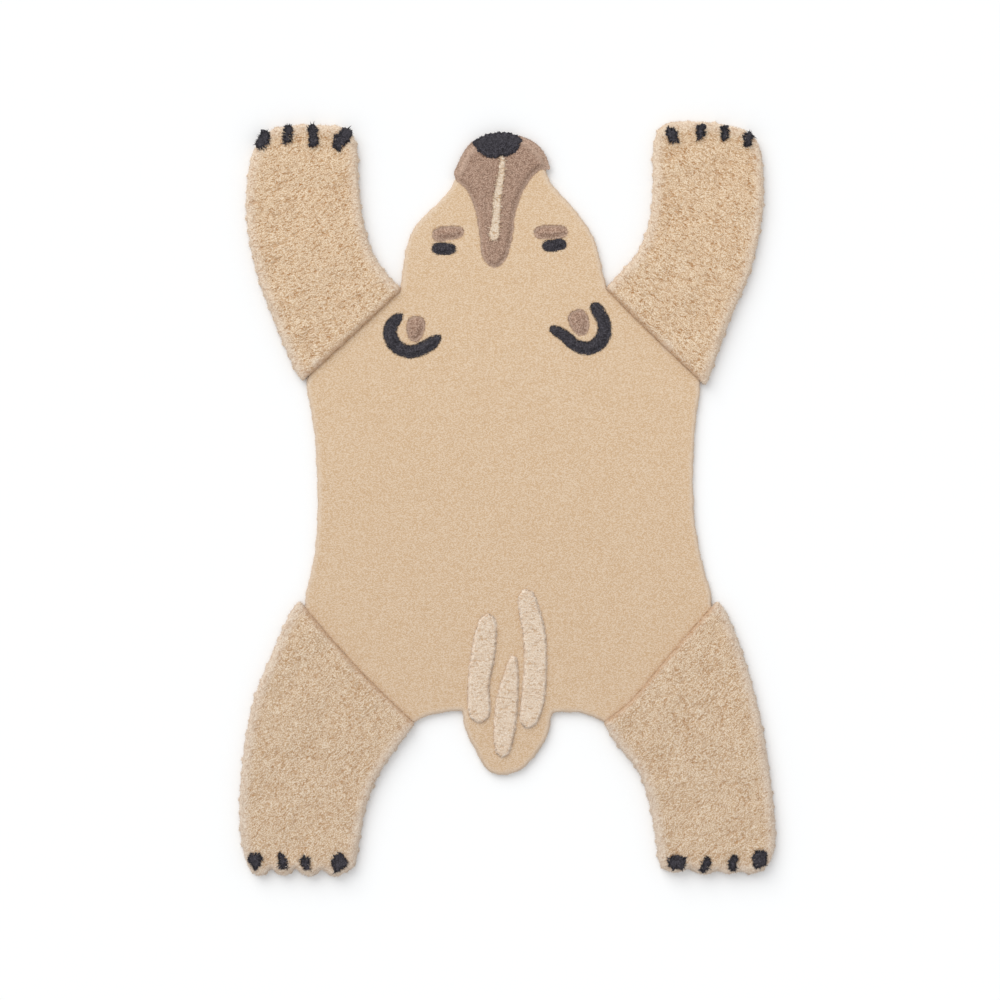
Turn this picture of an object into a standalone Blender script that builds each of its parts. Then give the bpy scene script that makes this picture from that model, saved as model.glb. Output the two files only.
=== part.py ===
"""A bear shaped rug for a child's room, lying flat on the floor.

The head, body and tail are one ground of short dense pile. Four legs of higher, lumpy shag are joined to
it along slanting seams. Muzzle, nose, brows, eyes, ears, rump streaks and claws are pile of other colours,
each let into a pocket of what carries it and standing a little proud of it.

The floor is z = 0 and the origin is in the middle of the rug. +Y runs from the tail to the nose and +Z is
up. Left and right are those of the view from above. Tables are in millimetres, the model is in metres.
"""

import math
from collections import namedtuple

import bmesh
import bpy
from mathutils import Matrix, Vector, noise

MM = 0.001

# Heights of the pile, floors of the pockets and the clearance between pieces.
GAP = 0.3
GROUND_TOP = 13.0
GROUND_SEAT = 4.0
MUZZLE_TOP = 18.5
MUZZLE_SEAT = 9.0
SHAG_TOP = 23.0
SHAG_SEAT = 5.0

# How far a cutter runs past what it cuts, how close two points are made one, and how close to a point a cut
# moves to it.
CUTTER_REACH = 10.0
WELD = 0.01
SNAP = 2.0

# Rounding of the rims, the length of the straight stretches that a curved outline is made of, and how far the
# round end of a strip reaches past its last row, as a share of its width there.
GROUND_ROUNDING = 4.0
SHAG_ROUNDING = 8.0
RIM_SEGMENTS = 2
OUTLINE_STEP = 14.0
PATCH_STEP = 11.0
STRIP_STEP = 13.0
PAD_STEP = 7.0
LEAST_PAD_SIDES = 10
STRIP_END = 0.35

# Lumps of the shag: the grid that its surface is cut into, and how high and how wide the lumps are.
LUMP_GRID = 24.0
LUMP_HEIGHT = 3.2
LUMP_WIDTH = 46.0

# Locks of wool at the shag's rim. Each is a tapered tuft of four sides that lies level on the floor.
LOCK_SPACING = 24.0
LOCK_STEP = 6.0
LOCK_ROOT = 13.0
LOCK_TIP = 4.5
LOCK_BURIED = 7.0
LOCK_REACH = (4.0, 5.4, 3.2, 4.8, 6.0)
LOCK_SLANT = (14.0, -9.0, 3.0, -16.0, 8.0, 18.0, -5.0)
LOCK_CLEAR_OF_CLAW = 21.0

# Wool colours as linear red, green and blue, and the roughness of wool.
SAND = (0.680, 0.500, 0.342)
SHAG_SAND = (0.640, 0.462, 0.305)
CREAM = (0.720, 0.592, 0.462)
TAUPE = (0.376, 0.238, 0.180)
INK = (0.050, 0.048, 0.058)
WOOL_ROUGHNESS = 0.95

# The ground's edge from the right of the neck round the snout and on round the rug. Columns: x, y.
# Where it runs beneath a leg, it lies past the seam, and the leg trims it.
GROUND_EDGE = {
    "head": (
        (184, 392), (175, 425), (166, 468), (147, 507), (111, 553), (78, 590), (65, 627), (41, 657),
        (0, 670), (-42, 666), (-74, 640), (-93, 600), (-122, 557), (-158, 523), (-180, 492), (-191, 452),
        (-199, 390),
    ),
    "under_fore_left": ((-199, 390), (-232, 374), (-362, 252), (-374, 212)),
    "flank_left": (
        (-374, 212), (-365, 166), (-356, 90), (-353, -10), (-356, -75), (-364, -131), (-375, -172),
    ),
    "under_hind_left": ((-375, -172), (-372, -232), (-208, -402), (-175, -415)),
    "rump_left": ((-175, -415), (-152, -402), (-118, -394), (-84, -391)),
    "tail": (
        (-84, -391), (-79, -425), (-59, -465), (-30, -507), (20, -504), (45, -481), (73, -438),
        (82, -395),
    ),
    "rump_right": ((82, -395), (125, -394), (158, -402), (180, -413)),
    "under_hind_right": ((180, -413), (214, -402), (373, -232), (377, -172)),
    "flank_right": ((377, -172), (364, -131), (352, -75), (345, -19), (344, 60), (349, 150), (357, 207)),
    "under_fore_right": ((357, 207), (352, 240), (214, 378), (184, 392)),
}

# Each leg's seam from its outer to its inner end, and its free edge from there round the paw. Columns: x, y.
LEGS = {
    "fore_left": {
        "seam": ((-381, 222), (-301, 295), (-199, 390)),
        "inner_edge": ((-222, 411), (-253, 457), (-271, 515), (-280, 590), (-284, 660)),
        "paw": ((-300, 686), (-345, 692), (-386, 693), (-440, 683), (-465, 658)),
        "outer_edge": ((-481, 590), (-481, 510), (-463, 420), (-432, 335), (-395, 246)),
    },
    "fore_right": {
        "seam": ((366, 214), (284, 292), (232, 343), (184, 392)),
        "inner_edge": ((211, 420), (246, 463), (266, 520), (272, 590), (273, 655)),
        "paw": ((289, 692), (340, 699), (396, 694), (440, 683), (462, 661)),
        "outer_edge": ((472, 590), (467, 510), (446, 420), (412, 340), (379, 250)),
    },
    "hind_left": {
        "seam": ((-387, -190), (-328, -260), (-269, -325), (-175, -416)),
        "inner_edge": ((-203, -452), (-245, -515), (-268, -578), (-280, -645)),
        "paw": (
            (-289, -682), (-312, -700), (-343, -688), (-368, -698), (-394, -687),
            (-415, -696), (-439, -687), (-462, -697), (-482, -674),
        ),
        "outer_edge": ((-495, -600), (-490, -490), (-470, -375), (-433, -282), (-401, -210)),
    },
    "hind_right": {
        "seam": ((389, -190), (341, -244), (287, -307), (226, -378), (180, -414)),
        "inner_edge": ((200, -447), (245, -505), (264, -560), (278, -635)),
        "paw": (
            (288, -684), (309, -690), (338, -685), (362, -694), (387, -688),
            (408, -693), (432, -688), (453, -692), (482, -677),
        ),
        "outer_edge": ((494, -625), (487, -540), (469, -420), (438, -300), (403, -210)),
    },
}

# Outlines of the muzzle and the nose, each as two curves that meet at corners. Columns: x, y.
PATCHES = {
    "muzzle": {
        "cap": ((77, 614), (65, 645), (41, 666), (8, 676), (-18, 677), (-45, 673), (-74, 654), (-99, 606)),
        "tongue": (
            (-99, 606), (-94, 592), (-76, 577), (-60, 540), (-51, 490), (-45, 448), (-25, 431),
            (-5, 446), (7, 485), (14, 535), (30, 578), (58, 612), (77, 614),
        ),
    },
    "nose": {
        "front": ((26, 668), (8, 677), (-13, 680), (-36, 678), (-63, 664)),
        "back": ((-63, 664), (-55, 646), (-35, 634), (-8, 635), (13, 643), (22, 657), (26, 668)),
    },
}

# Long strips of pile along a middle line. Columns: x, y, width.
STRIPS = {
    "bridge_stripe": ((-10, 629, 8), (-12, 605, 12), (-20, 558, 14), (-22, 520, 13), (-26, 484, 16)),
    "ear_rim_left": (
        (-199, 341, 11), (-213, 328, 20), (-219, 309, 22), (-208, 285, 22), (-181, 274, 21), (-153, 283, 22),
        (-137, 293, 19), (-128, 302, 10),
    ),
    "ear_rim_right": (
        (160, 360, 17), (172, 342, 21), (180, 319, 23), (174, 296, 24), (150, 280, 21), (126, 286, 20),
        (106, 303, 19), (92, 312, 17), (81, 318, 9),
    ),
    "streak_left": ((-37, -220, 22), (-40, -245, 36), (-47, -295, 40), (-54, -345, 36), (-52, -402, 33)),
    "streak_middle": ((10, -294, 9), (6, -328, 24), (-1, -372, 36), (-6, -425, 36), (-10, -470, 21)),
    "streak_right": (
        (33, -176, 24), (38, -198, 33), (49, -250, 38), (51, -320, 39), (46, -375, 39), (37, -415, 26),
    ),
}

# Rounded patches. Columns: x, y, half length, half width, turn of the length from +X in degrees, squareness
# from 2 for an oval upwards, and taper, which widens the far end of the length and is below 0 to narrow it.
PADS = {
    "brow_left": (-111, 494, 29, 12.5, 7, 2.6, -0.12),
    "brow_right": (80, 496, 31, 12, 2, 2.8, -0.05),
    "eye_left": (-118, 465.5, 22, 10.3, -2, 2.6, -0.1),
    "eye_right": (86, 472, 22, 10.5, 6, 2.6, 0.05),
    "ear_inner_left": (-171, 317, 23, 15.5, 84, 2.4, 0.2),
    "ear_inner_right": (133, 328, 24, 17, 108, 2.4, 0.2),
}

# The claws of each paw, from the left of the view, with the same columns.
CLAWS = {
    "fore_left": (
        (-453, 667, 19, 10.5, 69, 2.6, -0.3),
        (-408, 675, 18.5, 7.2, 80, 2.8, 0.2),
        (-361, 674, 21, 8, 89, 3, 0),
        (-308, 668, 22, 11.5, 56, 2.6, 0.1),
    ),
    "fore_right": (
        (304, 675, 15.5, 9, 112, 2.4, -0.2),
        (356, 681, 14, 7, 87, 2.8, 0.2),
        (402, 678, 14, 6.2, 86, 2.8, 0.25),
        (445, 668, 13, 8, 84, 2.2, 0),
    ),
    "hind_left": (
        (-468, -669, 14.5, 11, 92, 2.8, 0.35),
        (-418, -669, 16.5, 6.5, 106, 2.6, -0.25),
        (-375, -674, 13.5, 8.5, 110, 2.2, 0),
        (-313, -673, 15, 13, 62, 2.8, 0.1),
    ),
    "hind_right": (
        (313, -672, 15.5, 13, -8, 2.8, 0),
        (366, -677, 15.5, 7, 63, 2.8, 0),
        (417, -674, 14.5, 7.2, 80, 2.8, 0.1),
        (467, -665, 16.5, 13, 72, 3, 0),
    ),
}

# What each kind of inlay is set into, its pocket's floor, its top, the rounding of its rim and its colour.
Inlay = namedtuple("Inlay", "carrier seat top rounding colour")
INLAYS = {
    "muzzle": Inlay("ground", GROUND_SEAT, MUZZLE_TOP, 3.0, TAUPE),
    "nose": Inlay("muzzle", MUZZLE_SEAT, 21.0, 3.0, INK),
    "bridge_stripe": Inlay("muzzle", MUZZLE_SEAT, 19.0, 2.0, CREAM),
    "brow": Inlay("ground", GROUND_SEAT, 16.0, 2.5, TAUPE),
    "eye": Inlay("ground", GROUND_SEAT, 16.0, 2.5, INK),
    "ear_rim": Inlay("ground", GROUND_SEAT, 17.5, 3.0, INK),
    "ear_inner": Inlay("ground", GROUND_SEAT, 16.0, 2.5, TAUPE),
    "streak": Inlay("ground", GROUND_SEAT, 19.0, 4.0, CREAM),
    "claw": Inlay("leg", SHAG_SEAT, 25.0, 2.5, INK),
}


def smooth_run(points, step):
    """Points along a smooth open curve through the given ones, without its last point."""
    knots = [Vector(point) for point in points]
    padded = [2 * knots[0] - knots[1], *knots, 2 * knots[-1] - knots[-2]]
    line = []
    for before, start, end, after in zip(padded, padded[1:], padded[2:], padded[3:]):
        length = (end - start).length
        leaving = (end - before).normalized() * length
        arriving = (after - start).normalized() * length
        count = max(1, round(length / step))
        for index in range(count):
            t = index / count
            line.append(
                start * (2 * t**3 - 3 * t**2 + 1)
                + leaving * (t**3 - 2 * t**2 + t)
                + end * (3 * t**2 - 2 * t**3)
                + arriving * (t**3 - t**2)
            )
    return line


def ring_of(runs, step):
    """A closed ring of smooth runs that meet at corners, turned so that its inside is on the left."""
    ring = [point for run in runs for point in smooth_run(run, step)]
    area = sum(a.x * b.y - b.x * a.y for a, b in zip(ring, ring[1:] + ring[:1]))
    return ring if area > 0 else ring[::-1]


def strip_ring(rows):
    """The ring round a strip that is given by its middle line and its widths, with round ends."""
    middle = [Vector(row[:2]) for row in rows]
    first_along = (middle[0] - middle[1]).normalized()
    last_along = (middle[-1] - middle[-2]).normalized()
    left, right = [], []
    for index, (point, row) in enumerate(zip(middle, rows)):
        along = middle[min(index + 1, len(rows) - 1)] - middle[max(index - 1, 0)]
        side = Vector((-along.y, along.x)).normalized() * row[2] / 2
        left.append(point + side)
        right.append(point - side)
    first_tip = middle[0] + first_along * rows[0][2] * STRIP_END
    last_tip = middle[-1] + last_along * rows[-1][2] * STRIP_END
    return ring_of([[first_tip, *left, last_tip], [last_tip, *reversed(right), first_tip]], STRIP_STEP)


def pad_ring(x, y, half_length, half_width, turn, squareness, taper):
    """The ring of a rounded patch: an oval made fuller at its corners and tapered along its length."""
    count = max(LEAST_PAD_SIDES, 2 * round(math.pi * (half_length + half_width) / PAD_STEP / 2))
    turned = Matrix.Rotation(math.radians(turn), 2)
    ring = []
    for index in range(count):
        angle = math.tau * (index + 0.5) / count
        along = math.copysign(abs(math.cos(angle)) ** (2 / squareness), math.cos(angle))
        aside = math.copysign(abs(math.sin(angle)) ** (2 / squareness), math.sin(angle))
        corner = Vector((half_length * along, half_width * aside * (1 + taper * along)))
        ring.append(Vector((x, y)) + turned @ corner)
    return ring


def grown(ring, distance):
    """The ring with its edge moved outward by a distance."""
    moved = []
    for before, point, after in zip([ring[-1], *ring], ring, [*ring[1:], ring[0]]):
        arriving = (point - before).normalized()
        leaving = (after - point).normalized()
        outward = Vector((arriving.y + leaving.y, -arriving.x - leaving.x)).normalized()
        square = max(0.5, outward.dot(Vector((arriving.y, -arriving.x))))
        moved.append(point + outward * distance / square)
    return moved


def is_inside(ring, point):
    """Whether a point lies within a ring, by counting the edges to its right."""
    inside = False
    for a, b in zip(ring, ring[1:] + ring[:1]):
        if (a.y > point.y) == (b.y > point.y):
            continue
        if point.x < a.x + (point.y - a.y) / (b.y - a.y) * (b.x - a.x):
            inside = not inside
    return inside


def clear_scene():
    """Remove whatever the scene holds."""
    for thing in list(bpy.data.objects):
        bpy.data.objects.remove(thing)


def new_collection(name):
    """A collection of that name in the scene."""
    collection = bpy.data.collections.new(name)
    bpy.context.scene.collection.children.link(collection)
    return collection


def give_wool(piece, colour):
    """Give a piece its own matt wool finish."""
    material = bpy.data.materials.new(piece.name + "_wool")
    material.use_nodes = True
    shader = material.node_tree.nodes["Principled BSDF"]
    shader.inputs["Base Color"].default_value = (*colour, 1)
    shader.inputs["Roughness"].default_value = WOOL_ROUGHNESS
    shader.inputs["Metallic"].default_value = 0
    piece.data.materials.append(material)


def block(name, ring, bottom, top, collection):
    """An upright block with the ring as its outline: a flat curve with a thickness, made a mesh."""
    curve = bpy.data.curves.new(name + "_outline", "CURVE")
    curve.dimensions = "2D"
    curve.fill_mode = "BOTH"
    curve.extrude = (top - bottom) / 2 * MM
    spline = curve.splines.new("POLY")
    spline.points.add(len(ring) - 1)
    for corner, point in zip(spline.points, ring):
        corner.co = (point.x * MM, point.y * MM, 0, 1)
    spline.use_cyclic_u = True
    guide = bpy.data.objects.new(name + "_outline", curve)
    collection.objects.link(guide)
    mesh = bpy.data.meshes.new_from_object(guide.evaluated_get(bpy.context.evaluated_depsgraph_get()))
    mesh.name = name
    bpy.data.objects.remove(guide)
    bpy.data.curves.remove(curve)

    shape = bmesh.new()
    shape.from_mesh(mesh)
    bmesh.ops.remove_doubles(shape, verts=shape.verts, dist=WELD * MM)
    bmesh.ops.translate(shape, verts=shape.verts, vec=(0, 0, (bottom + top) / 2 * MM))
    bmesh.ops.recalc_face_normals(shape, faces=shape.faces)
    inner = [edge for edge in shape.edges if all(abs(face.normal.z) > 0.9 for face in edge.link_faces)]
    bmesh.ops.dissolve_edges(shape, edges=inner, use_verts=False)
    shape.to_mesh(mesh)
    shape.free()
    piece = bpy.data.objects.new(name, mesh)
    collection.objects.link(piece)
    return piece


def level_faces(shape, height):
    """The faces that lie level at a height."""
    return [face for face in shape.faces if all(abs(vert.co.z - height) < WELD * MM for vert in face.verts)]


def round_rim(piece, top, radius):
    """Round the edge between a block's top and its walls."""
    shape = bmesh.new()
    shape.from_mesh(piece.data)
    bmesh.ops.bevel(
        shape,
        geom=list(level_faces(shape, top * MM)[0].edges),
        offset=radius * MM,
        offset_type="OFFSET",
        segments=RIM_SEGMENTS,
        profile=0.5,
        affect="EDGES",
        clamp_overlap=True,
        material=-1,
    )
    shape.to_mesh(piece.data)
    shape.free()


def raise_lumps(piece, top):
    """Cut a block's top into a grid, and raise and lower it in soft lumps."""
    shape = bmesh.new()
    shape.from_mesh(piece.data)
    for axis in (Vector((1, 0, 0)), Vector((0, 1, 0))):
        places = [vert.co.dot(axis) for vert in shape.verts]
        first = math.ceil(min(places) / MM / LUMP_GRID)
        last = math.floor(max(places) / MM / LUMP_GRID)
        for line in range(first, last + 1):
            faces = level_faces(shape, top * MM)
            edges = {edge for face in faces for edge in face.edges}
            verts = {vert for face in faces for vert in face.verts}
            bmesh.ops.bisect_plane(
                shape,
                geom=[*faces, *edges, *verts],
                dist=SNAP * MM,
                plane_co=axis * line * LUMP_GRID * MM,
                plane_no=axis,
            )
    for vert in {vert for face in level_faces(shape, top * MM) for vert in face.verts}:
        vert.co.z += noise.noise(vert.co / (LUMP_WIDTH * MM)) * LUMP_HEIGHT * MM
    bmesh.ops.triangulate(shape, faces=shape.faces)
    shape.to_mesh(piece.data)
    shape.free()


def add_lock(shape, rim_point, heading, reach):
    """One lock: a bar along its heading with its root buried, tapered to a tip that keeps to the floor."""
    verts = bmesh.ops.create_cube(shape, size=1)["verts"]
    tip = [vert for vert in verts if vert.co.x > 0]
    length = LOCK_BURIED + reach
    bmesh.ops.translate(shape, verts=verts, vec=(0.5 - LOCK_BURIED / length, 0, 0.5))
    bmesh.ops.scale(shape, verts=verts, vec=(length * MM, LOCK_ROOT * MM, LOCK_ROOT * MM))
    bmesh.ops.scale(shape, verts=tip, vec=(1, LOCK_TIP / LOCK_ROOT, LOCK_TIP / LOCK_ROOT))
    bmesh.ops.rotate(shape, verts=verts, cent=(0, 0, 0), matrix=Matrix.Rotation(heading, 3, "Z"))
    bmesh.ops.translate(shape, verts=verts, vec=(rim_point.x * MM, rim_point.y * MM, 0))


def rim_locks(leg, free_edge, ring, collection):
    """The locks along a leg's free edge, spaced evenly and left out beside a claw."""
    claws = [Vector(row[:2]) for row in CLAWS[leg]]
    line = smooth_run(free_edge, LOCK_STEP)
    shape = bmesh.new()
    walked = 0.0
    placed = 0
    for before, point, after in zip(line, line[1:], line[2:]):
        walked += (point - before).length
        if walked < LOCK_SPACING:
            continue
        walked = 0.0
        if min((point - claw).length for claw in claws) < LOCK_CLEAR_OF_CLAW:
            continue
        along = (after - before).normalized()
        outward = Vector((along.y, -along.x))
        if is_inside(ring, point + outward * LOCK_BURIED):
            outward.negate()
        slant = math.radians(LOCK_SLANT[placed % len(LOCK_SLANT)])
        heading = math.atan2(outward.y, outward.x) + slant
        add_lock(shape, point, heading, LOCK_REACH[placed % len(LOCK_REACH)])
        placed += 1
    mesh = bpy.data.meshes.new("locks_" + leg)
    shape.to_mesh(mesh)
    shape.free()
    locks = bpy.data.objects.new("locks_" + leg, mesh)
    collection.objects.link(locks)
    return locks


def combine(piece, other, operation):
    """Join another shape to a piece or cut it away, and keep that shape out of the model."""
    modifier = piece.modifiers.new(other.name, "BOOLEAN")
    modifier.operation = operation
    modifier.solver = "EXACT"
    modifier.object = other
    other.hide_render = True
    other.display_type = "WIRE"


def cut_pocket(carrier, name, ring, seat, cutters):
    """Cut a pocket from a carrier, open at the top, with a clearance all round what goes into it."""
    pocket = block("pocket_" + name, grown(ring, GAP), seat, SHAG_TOP + CUTTER_REACH, cutters)
    combine(carrier, pocket, "DIFFERENCE")


def make_leg(leg, parts, cutters):
    """One leg: a lumpy slab of shag with a rounded rim and with locks along its free edge."""
    edges = LEGS[leg]
    seam = edges["seam"]
    free_edge = (seam[-1], *edges["inner_edge"], *edges["paw"], *edges["outer_edge"], seam[0])
    ring = ring_of([free_edge, seam], OUTLINE_STEP)
    slab = block("leg_" + leg, ring, 0, SHAG_TOP, parts)
    round_rim(slab, SHAG_TOP, SHAG_ROUNDING)
    raise_lumps(slab, SHAG_TOP)
    combine(slab, rim_locks(leg, free_edge, ring, cutters), "UNION")
    give_wool(slab, SHAG_SAND)
    return slab, ring


def inlay_rings():
    """Each inlaid piece's name and ring, in the order in which they are set."""
    for name, curves in PATCHES.items():
        yield name, ring_of(curves.values(), PATCH_STEP)
    for name, rows in STRIPS.items():
        yield name, strip_ring(rows)
    for name, row in PADS.items():
        yield name, pad_ring(*row)
    for leg, rows in CLAWS.items():
        for number, row in enumerate(rows, start=1):
            yield f"claw_{leg}_{number}", pad_ring(*row)


def main():
    """Build the rug."""
    clear_scene()
    parts = new_collection("bear_rug")
    cutters = new_collection("bear_rug_cutters")

    ground = block("ground", ring_of(GROUND_EDGE.values(), OUTLINE_STEP), 0, GROUND_TOP, parts)
    round_rim(ground, GROUND_TOP, GROUND_ROUNDING)
    give_wool(ground, SAND)
    carriers = {"ground": ground}
    for leg in LEGS:
        carriers[leg], ring = make_leg(leg, parts, cutters)
        cut_pocket(ground, "leg_" + leg, ring, -CUTTER_REACH, cutters)

    for name, ring in inlay_rings():
        kind = next(kind for kind in INLAYS if name.startswith(kind))
        inlay = INLAYS[kind]
        leg = name.removeprefix("claw_")[:-2]
        carrier = carriers[leg if kind == "claw" else inlay.carrier]
        cut_pocket(carrier, name, ring, inlay.seat, cutters)
        piece = block(name, ring, inlay.seat + GAP, inlay.top, parts)
        round_rim(piece, inlay.top, inlay.rounding)
        give_wool(piece, inlay.colour)
        carriers[name] = piece


main()
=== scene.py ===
"""The looks of a bear shaped wool rug that lies flat on the floor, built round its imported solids.

Every piece takes its form from the solid that it stands for. A fine copy of that solid is tufted, which means
that its surface rises and falls in clumps of yarn, and loose yarn ends are set into it. The frame is in
metres, with the floor at z = 0, +Y from tail to nose and +Z up. Left and right are those of the view from
above.
"""

import itertools
import logging
import math
from collections.abc import Iterable
from dataclasses import dataclass, field
from enum import Enum

import bmesh
import bpy
import numpy as np
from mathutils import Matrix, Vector
from mathutils.kdtree import KDTree


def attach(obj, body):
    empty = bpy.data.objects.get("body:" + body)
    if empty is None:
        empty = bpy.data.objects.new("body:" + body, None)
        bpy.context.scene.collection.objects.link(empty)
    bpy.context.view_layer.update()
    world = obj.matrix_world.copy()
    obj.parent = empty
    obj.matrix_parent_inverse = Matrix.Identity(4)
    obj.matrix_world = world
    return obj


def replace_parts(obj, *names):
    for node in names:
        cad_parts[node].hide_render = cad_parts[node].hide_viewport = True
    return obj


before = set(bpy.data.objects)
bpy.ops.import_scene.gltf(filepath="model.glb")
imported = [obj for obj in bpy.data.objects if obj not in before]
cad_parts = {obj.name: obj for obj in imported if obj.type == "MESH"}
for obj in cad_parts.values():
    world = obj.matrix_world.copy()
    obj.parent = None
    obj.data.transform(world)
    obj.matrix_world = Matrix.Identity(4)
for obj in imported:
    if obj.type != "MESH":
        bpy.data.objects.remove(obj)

MM = 0.001
BODY = "root"
WELD = 0.01 * MM
CHANCES = 256

Colour = tuple[float, float, float]
log = logging.getLogger("bear_rug")


class Yarn(Enum):
    """The five kinds of pile, each named as its material."""

    SAND = "sand_pile"
    SHAG = "sand_shag"
    TAUPE = "taupe_pile"
    CREAM = "cream_pile"
    INK = "ink_pile"


class Mark(Enum):
    """The point attributes that a piece's material reads."""

    # How much painted shade a point gets in gaps, creases and along seams.
    GAP = "gap"
    EDGE = "edge"
    TONE = "tone"
    LIE = "lie"


class Spot(Enum):
    """Where on a pile its loose yarn ends are set."""

    WALL = "wall"
    FREE_EDGE = "free_edge"
    TOP = "top"
    ROUND_INLAYS = "round_inlays"


@dataclass(frozen=True)
class Relief:
    """How the surface of a pile rises and falls. Lengths are in metres and the heading in degrees.

    Attributes:
        tuft: How wide a clump of yarn is.
        depth: How far the clumps rise and fall.
        stretch: How much longer than wide a clump is.
        heading: Which way the clumps are long.
        stray: How far the clumps lie out of line.
        curl: How far the clumps lean sideways.
        pit: How deep the small pits between the clumps are.
        pit_length: How far apart the pits are along the heading.
        pit_width: How far apart they are across it.
        crease: How deep the creases are.
        crease_gap: How far apart the creases lie.
        crease_stretch: How much longer the creases run along the heading.
        crease_width: How wide a crease is, as a share of the noise that it follows.
        creased: How much of the pile has creases, from -1 for none to 1 for all of it.
        swell: How far the pile rises and falls in broad swells.
        swell_width: How wide a swell is.
        fray: How far the outline wanders in and out.
        fray_width: How wide one turn of the outline is.
        teeth: How far small teeth stand out from the outline.
        teeth_width: About how far apart they stand.
    """

    tuft: float
    depth: float
    stretch: float = 1.0
    heading: float = 0.0
    stray: float = 0.0
    curl: float = 0.0
    pit: float = 0.0
    pit_length: float = 7 * MM
    pit_width: float = 3.6 * MM
    crease: float = 0.0
    crease_gap: float = 12 * MM
    crease_stretch: float = 1.6
    crease_width: float = 0.08
    creased: float = 0.0
    swell: float = 0.0
    swell_width: float = 60 * MM
    fray: float = 0.0
    fray_width: float = 7 * MM
    teeth: float = 0.0
    teeth_width: float = 5 * MM


@dataclass(frozen=True)
class LooseEnds:
    """Loose yarn ends. Lengths are in metres.

    Attributes:
        count: How many there are.
        length: How long one is.
        width: How wide one is at its root.
        spot: Where they are set.
        lift: How far they point up.
        stray: How far they point away from the surface's own direction.
        sunk: The share of their length that is in the pile.
        along: How far they lie down along the rows.
        tone: How much lighter they are than the pile.
        from_height: How far above the bare walls they start.
    """

    count: int
    length: float
    width: float
    spot: Spot = Spot.WALL
    lift: float = 0.15
    stray: float = 0.4
    sunk: float = 0.4
    along: float = 0.0
    tone: float = 0.4
    from_height: float = 1.5 * MM


@dataclass(frozen=True)
class Dent:
    """A place where a pile is pushed forward, in +Y, mostly to draw its hind edge in. Lengths are in metres.

    Attributes:
        place: Where it is pushed most, seen from above.
        depth: How far it is pushed there.
        reach: How far round the place it is pushed.
    """

    place: tuple[float, float]
    depth: float = 5 * MM
    reach: float = 18 * MM


def flat_ends(count: int, length: float = 3.4 * MM, stray: float = 1.2) -> LooseEnds:
    """Short yarn ends that lie along the rows on a pile's top."""
    return LooseEnds(count, length, 1.4 * MM, Spot.TOP, lift=0.25, stray=stray, along=0.9)


def ramp(values: np.ndarray, low: float, high: float) -> np.ndarray:
    """A soft step from 0 at the low value to 1 at the high one."""
    t = np.clip((values - low) / (high - low), 0, 1)
    return t * t * (3 - 2 * t)


class Drift:
    """Soft repeatable noise in space."""

    LAYER_SHIFT = 17.3
    STRENGTH = 1.6

    def __init__(self, seed: int) -> None:
        """Draw the slopes that all readings come from.

        Args:
            seed: The number that the draws start from.
        """
        draw = np.random.default_rng(seed)
        slopes = draw.normal(size=(CHANCES, 3))
        self.order = draw.permutation(CHANCES)
        self.slopes = slopes / np.linalg.norm(slopes, axis=1)[:, None]

    def at(self, places: np.ndarray, shift: float = 0.0) -> np.ndarray:
        """Read noise whose lumps are about one unit wide.

        Args:
            places: Where to read it, in three columns.
            shift: A shift of all places, for noise that has nothing to do with that of another shift.

        Returns:
            The noise at each place, from about -1 to 1.
        """
        cell = np.floor(places + shift).astype(int)
        part = places + shift - cell
        fade = part**3 * (part * (part * 6 - 15) + 10)
        total = np.zeros(len(places))
        for corner in itertools.product((0, 1), repeat=3):
            i, j, k = (cell + corner).T % CHANCES
            row = self.order[(self.order[i] + j) % CHANCES]
            slope = self.slopes[self.order[(row + k) % CHANCES]]
            weight = np.prod(np.where(corner, fade, 1 - fade), axis=1)
            total += weight * np.einsum("ij,ij->i", slope, part - corner)
        return self.STRENGTH * total

    def layered(self, places: np.ndarray, weights: Iterable[float], shift: float = 0.0) -> np.ndarray:
        """Read layers of noise, each with lumps half as wide as the layer before.

        Args:
            places: Where to read it, in three columns.
            weights: How much each layer counts.
            shift: A shift of all places.

        Returns:
            The noise at each place.
        """
        total = np.zeros(len(places))
        for layer, weight in enumerate(weights):
            total += weight * self.at(places * 2**layer, shift + self.LAYER_SHIFT * layer)
        return total


@dataclass
class Surface:
    """What a relief does to the points of a pile.

    Attributes:
        rise: How far each point rises.
        sideways: How far it shifts, in three columns.
        fray: How far it shifts outwards.
        gap: How much painted shade it gets from lying in a gap, from 0 to 1.
        tone: How much lighter or darker its yarn is, from -1 to 1.
        lie: Where it lies in the rows, in three columns.
    """

    rise: np.ndarray
    sideways: np.ndarray
    fray: np.ndarray
    gap: np.ndarray
    tone: np.ndarray
    lie: np.ndarray


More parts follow.
